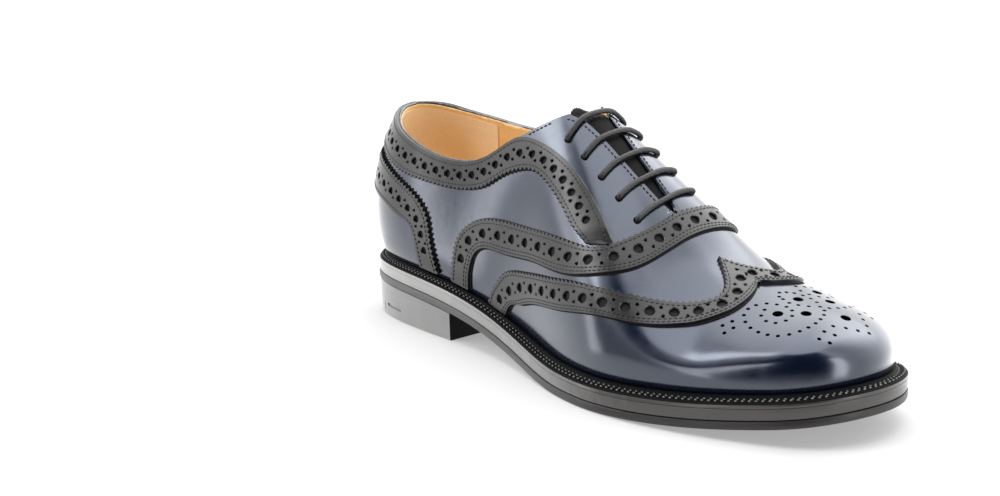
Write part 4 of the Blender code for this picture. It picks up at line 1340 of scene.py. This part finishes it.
def build_camera():
    """The camera of the photograph."""
    azimuth = math.radians(CAMERA_AZIMUTH)
    right = np.array([math.cos(azimuth), math.sin(azimuth), 0])
    back = np.array(heading(CAMERA_AZIMUTH, CAMERA_ELEVATION))
    up = np.cross(back, right)
    aside = right * CAMERA_OFFSET[0] + up * CAMERA_OFFSET[1]
    place = np.array(CAMERA_AT) - SHIFT - aside + back * CAMERA_DISTANCE
    data = bpy.data.cameras.new("camera")
    data.sensor_width = SENSOR
    data.lens = FOCAL_PIXELS * SENSOR / IMAGE_WIDTH
    data.clip_start = 0.01
    data.clip_end = 100
    camera = bpy.data.objects.new("camera", data)
    stand(camera, right, up, back, place * MM)
    bpy.context.scene.camera = camera


def heading(azimuth, elevation):
    """Unit direction of an azimuth and elevation in degrees, counted as the camera's are."""
    a, e = math.radians(azimuth), math.radians(elevation)
    return math.sin(a) * math.cos(e), -math.cos(a) * math.cos(e), math.sin(e)


def softbox(name, place, target, size, power):
    """A rectangular soft light aimed at a target, in metres."""
    data = bpy.data.lights.new(name, "AREA")
    data.shape = "RECTANGLE"
    data.size, data.size_y = size
    data.energy = power
    light = bpy.data.objects.new(name, data)
    back = unit(place - np.array(target))
    side = unit(np.cross((0, 0, 1), back))
    stand(light, side, np.cross(back, side), back, place)
    light.visible_glossy = False


def build_world():
    """The surround of the studio, which the polished leather mirrors."""
    world = bpy.data.worlds.new("studio")
    world.use_nodes = True
    nodes, links = world.node_tree.nodes, world.node_tree.links
    toward = nodes.new("ShaderNodeSeparateXYZ")
    links.new(nodes.new("ShaderNodeTexCoord").outputs["Generated"], toward.inputs["Vector"])
    front = nodes.new("ShaderNodeMath")
    front.operation = "MULTIPLY"
    links.new(toward.outputs["Y"], front.inputs[0])
    front.inputs[1].default_value = -1
    azimuth = nodes.new("ShaderNodeMath")
    azimuth.operation = "ARCTAN2"
    links.new(toward.outputs["X"], azimuth.inputs[0])
    links.new(front.outputs["Value"], azimuth.inputs[1])
    share = map_range(nodes, links, azimuth.outputs["Value"], (-math.pi, math.pi))

    def bands(level):
        """The surround's radiance by azimuth at one level."""
        ramp = nodes.new("ShaderNodeValToRGB")
        while len(ramp.color_ramp.elements) < len(SURROUND):
            ramp.color_ramp.elements.new(1.0)
        for element, row in zip(ramp.color_ramp.elements, SURROUND):
            element.position = (row[0] + 180) / 360
            element.color = (row[level], row[level], row[level], 1)
        links.new(share, ramp.inputs["Fac"])
        return ramp.outputs["Color"]

    def pass_over(first, second, span):
        """From one radiance to the next above it, which is a number or a socket."""
        high = map_range(nodes, links, toward.outputs["Z"], span, kind="SMOOTHSTEP")
        mix = nodes.new("ShaderNodeMix")
        mix.data_type = "RGBA"
        links.new(high, mix.inputs["Factor"])
        for socket, value in ((mix.inputs["A"], first), (mix.inputs["B"], second)):
            if isinstance(value, float):
                socket.default_value = (value, value, value, 1)
            else:
                links.new(value, socket)
        return mix.outputs["Result"]
    light = pass_over(BELOW_LIGHT, bands(1), BELOW_SPAN)
    light = pass_over(light, bands(2), HIGH_SPAN)
    light = pass_over(light, TOP_LIGHT, TOP_SPAN)
    links.new(light, nodes["Background"].inputs["Color"])
    bpy.context.scene.world = world


def build_studio():
    """A pale floor, a soft surround and a soft box."""
    floor_mesh = bpy.data.meshes.new("floor")
    corners = [(x * FLOOR_REACH, y * FLOOR_REACH, 0) for x, y in ((-1, -1), (1, -1), (1, 1), (-1, 1))]
    floor_mesh.from_pydata(corners, [], [(0, 1, 2, 3)])
    material, _, _ = new_material(
        "floor_white", roughness=0.9, base_color=FLOOR_COLOUR, emission_color=(1, 1, 1, 1),
        emission_strength=FLOOR_GLOW)
    floor_mesh.materials.append(material)
    floor = bpy.data.objects.new("floor", floor_mesh)
    bpy.context.scene.collection.objects.link(floor)
    floor.visible_glossy = False
    build_world()
    for name, azimuth, elevation, distance, size, radiance in SOFTBOXES:
        place = np.array(LIGHT_AT) + np.array(heading(azimuth, elevation)) * distance
        softbox(name, place, LIGHT_AT, size, radiance * math.pi * size[0] * size[1])
    bpy.context.scene.view_settings.view_transform = "Standard"


WALL_COLUMNS = wall_columns()
WALL_TOPS = trim(WALL_COLUMNS)
build_camera()
build_upper()
build_facing_stitches()
build_bands()
build_tongue()
build_lace()
build_sole()
build_studio()
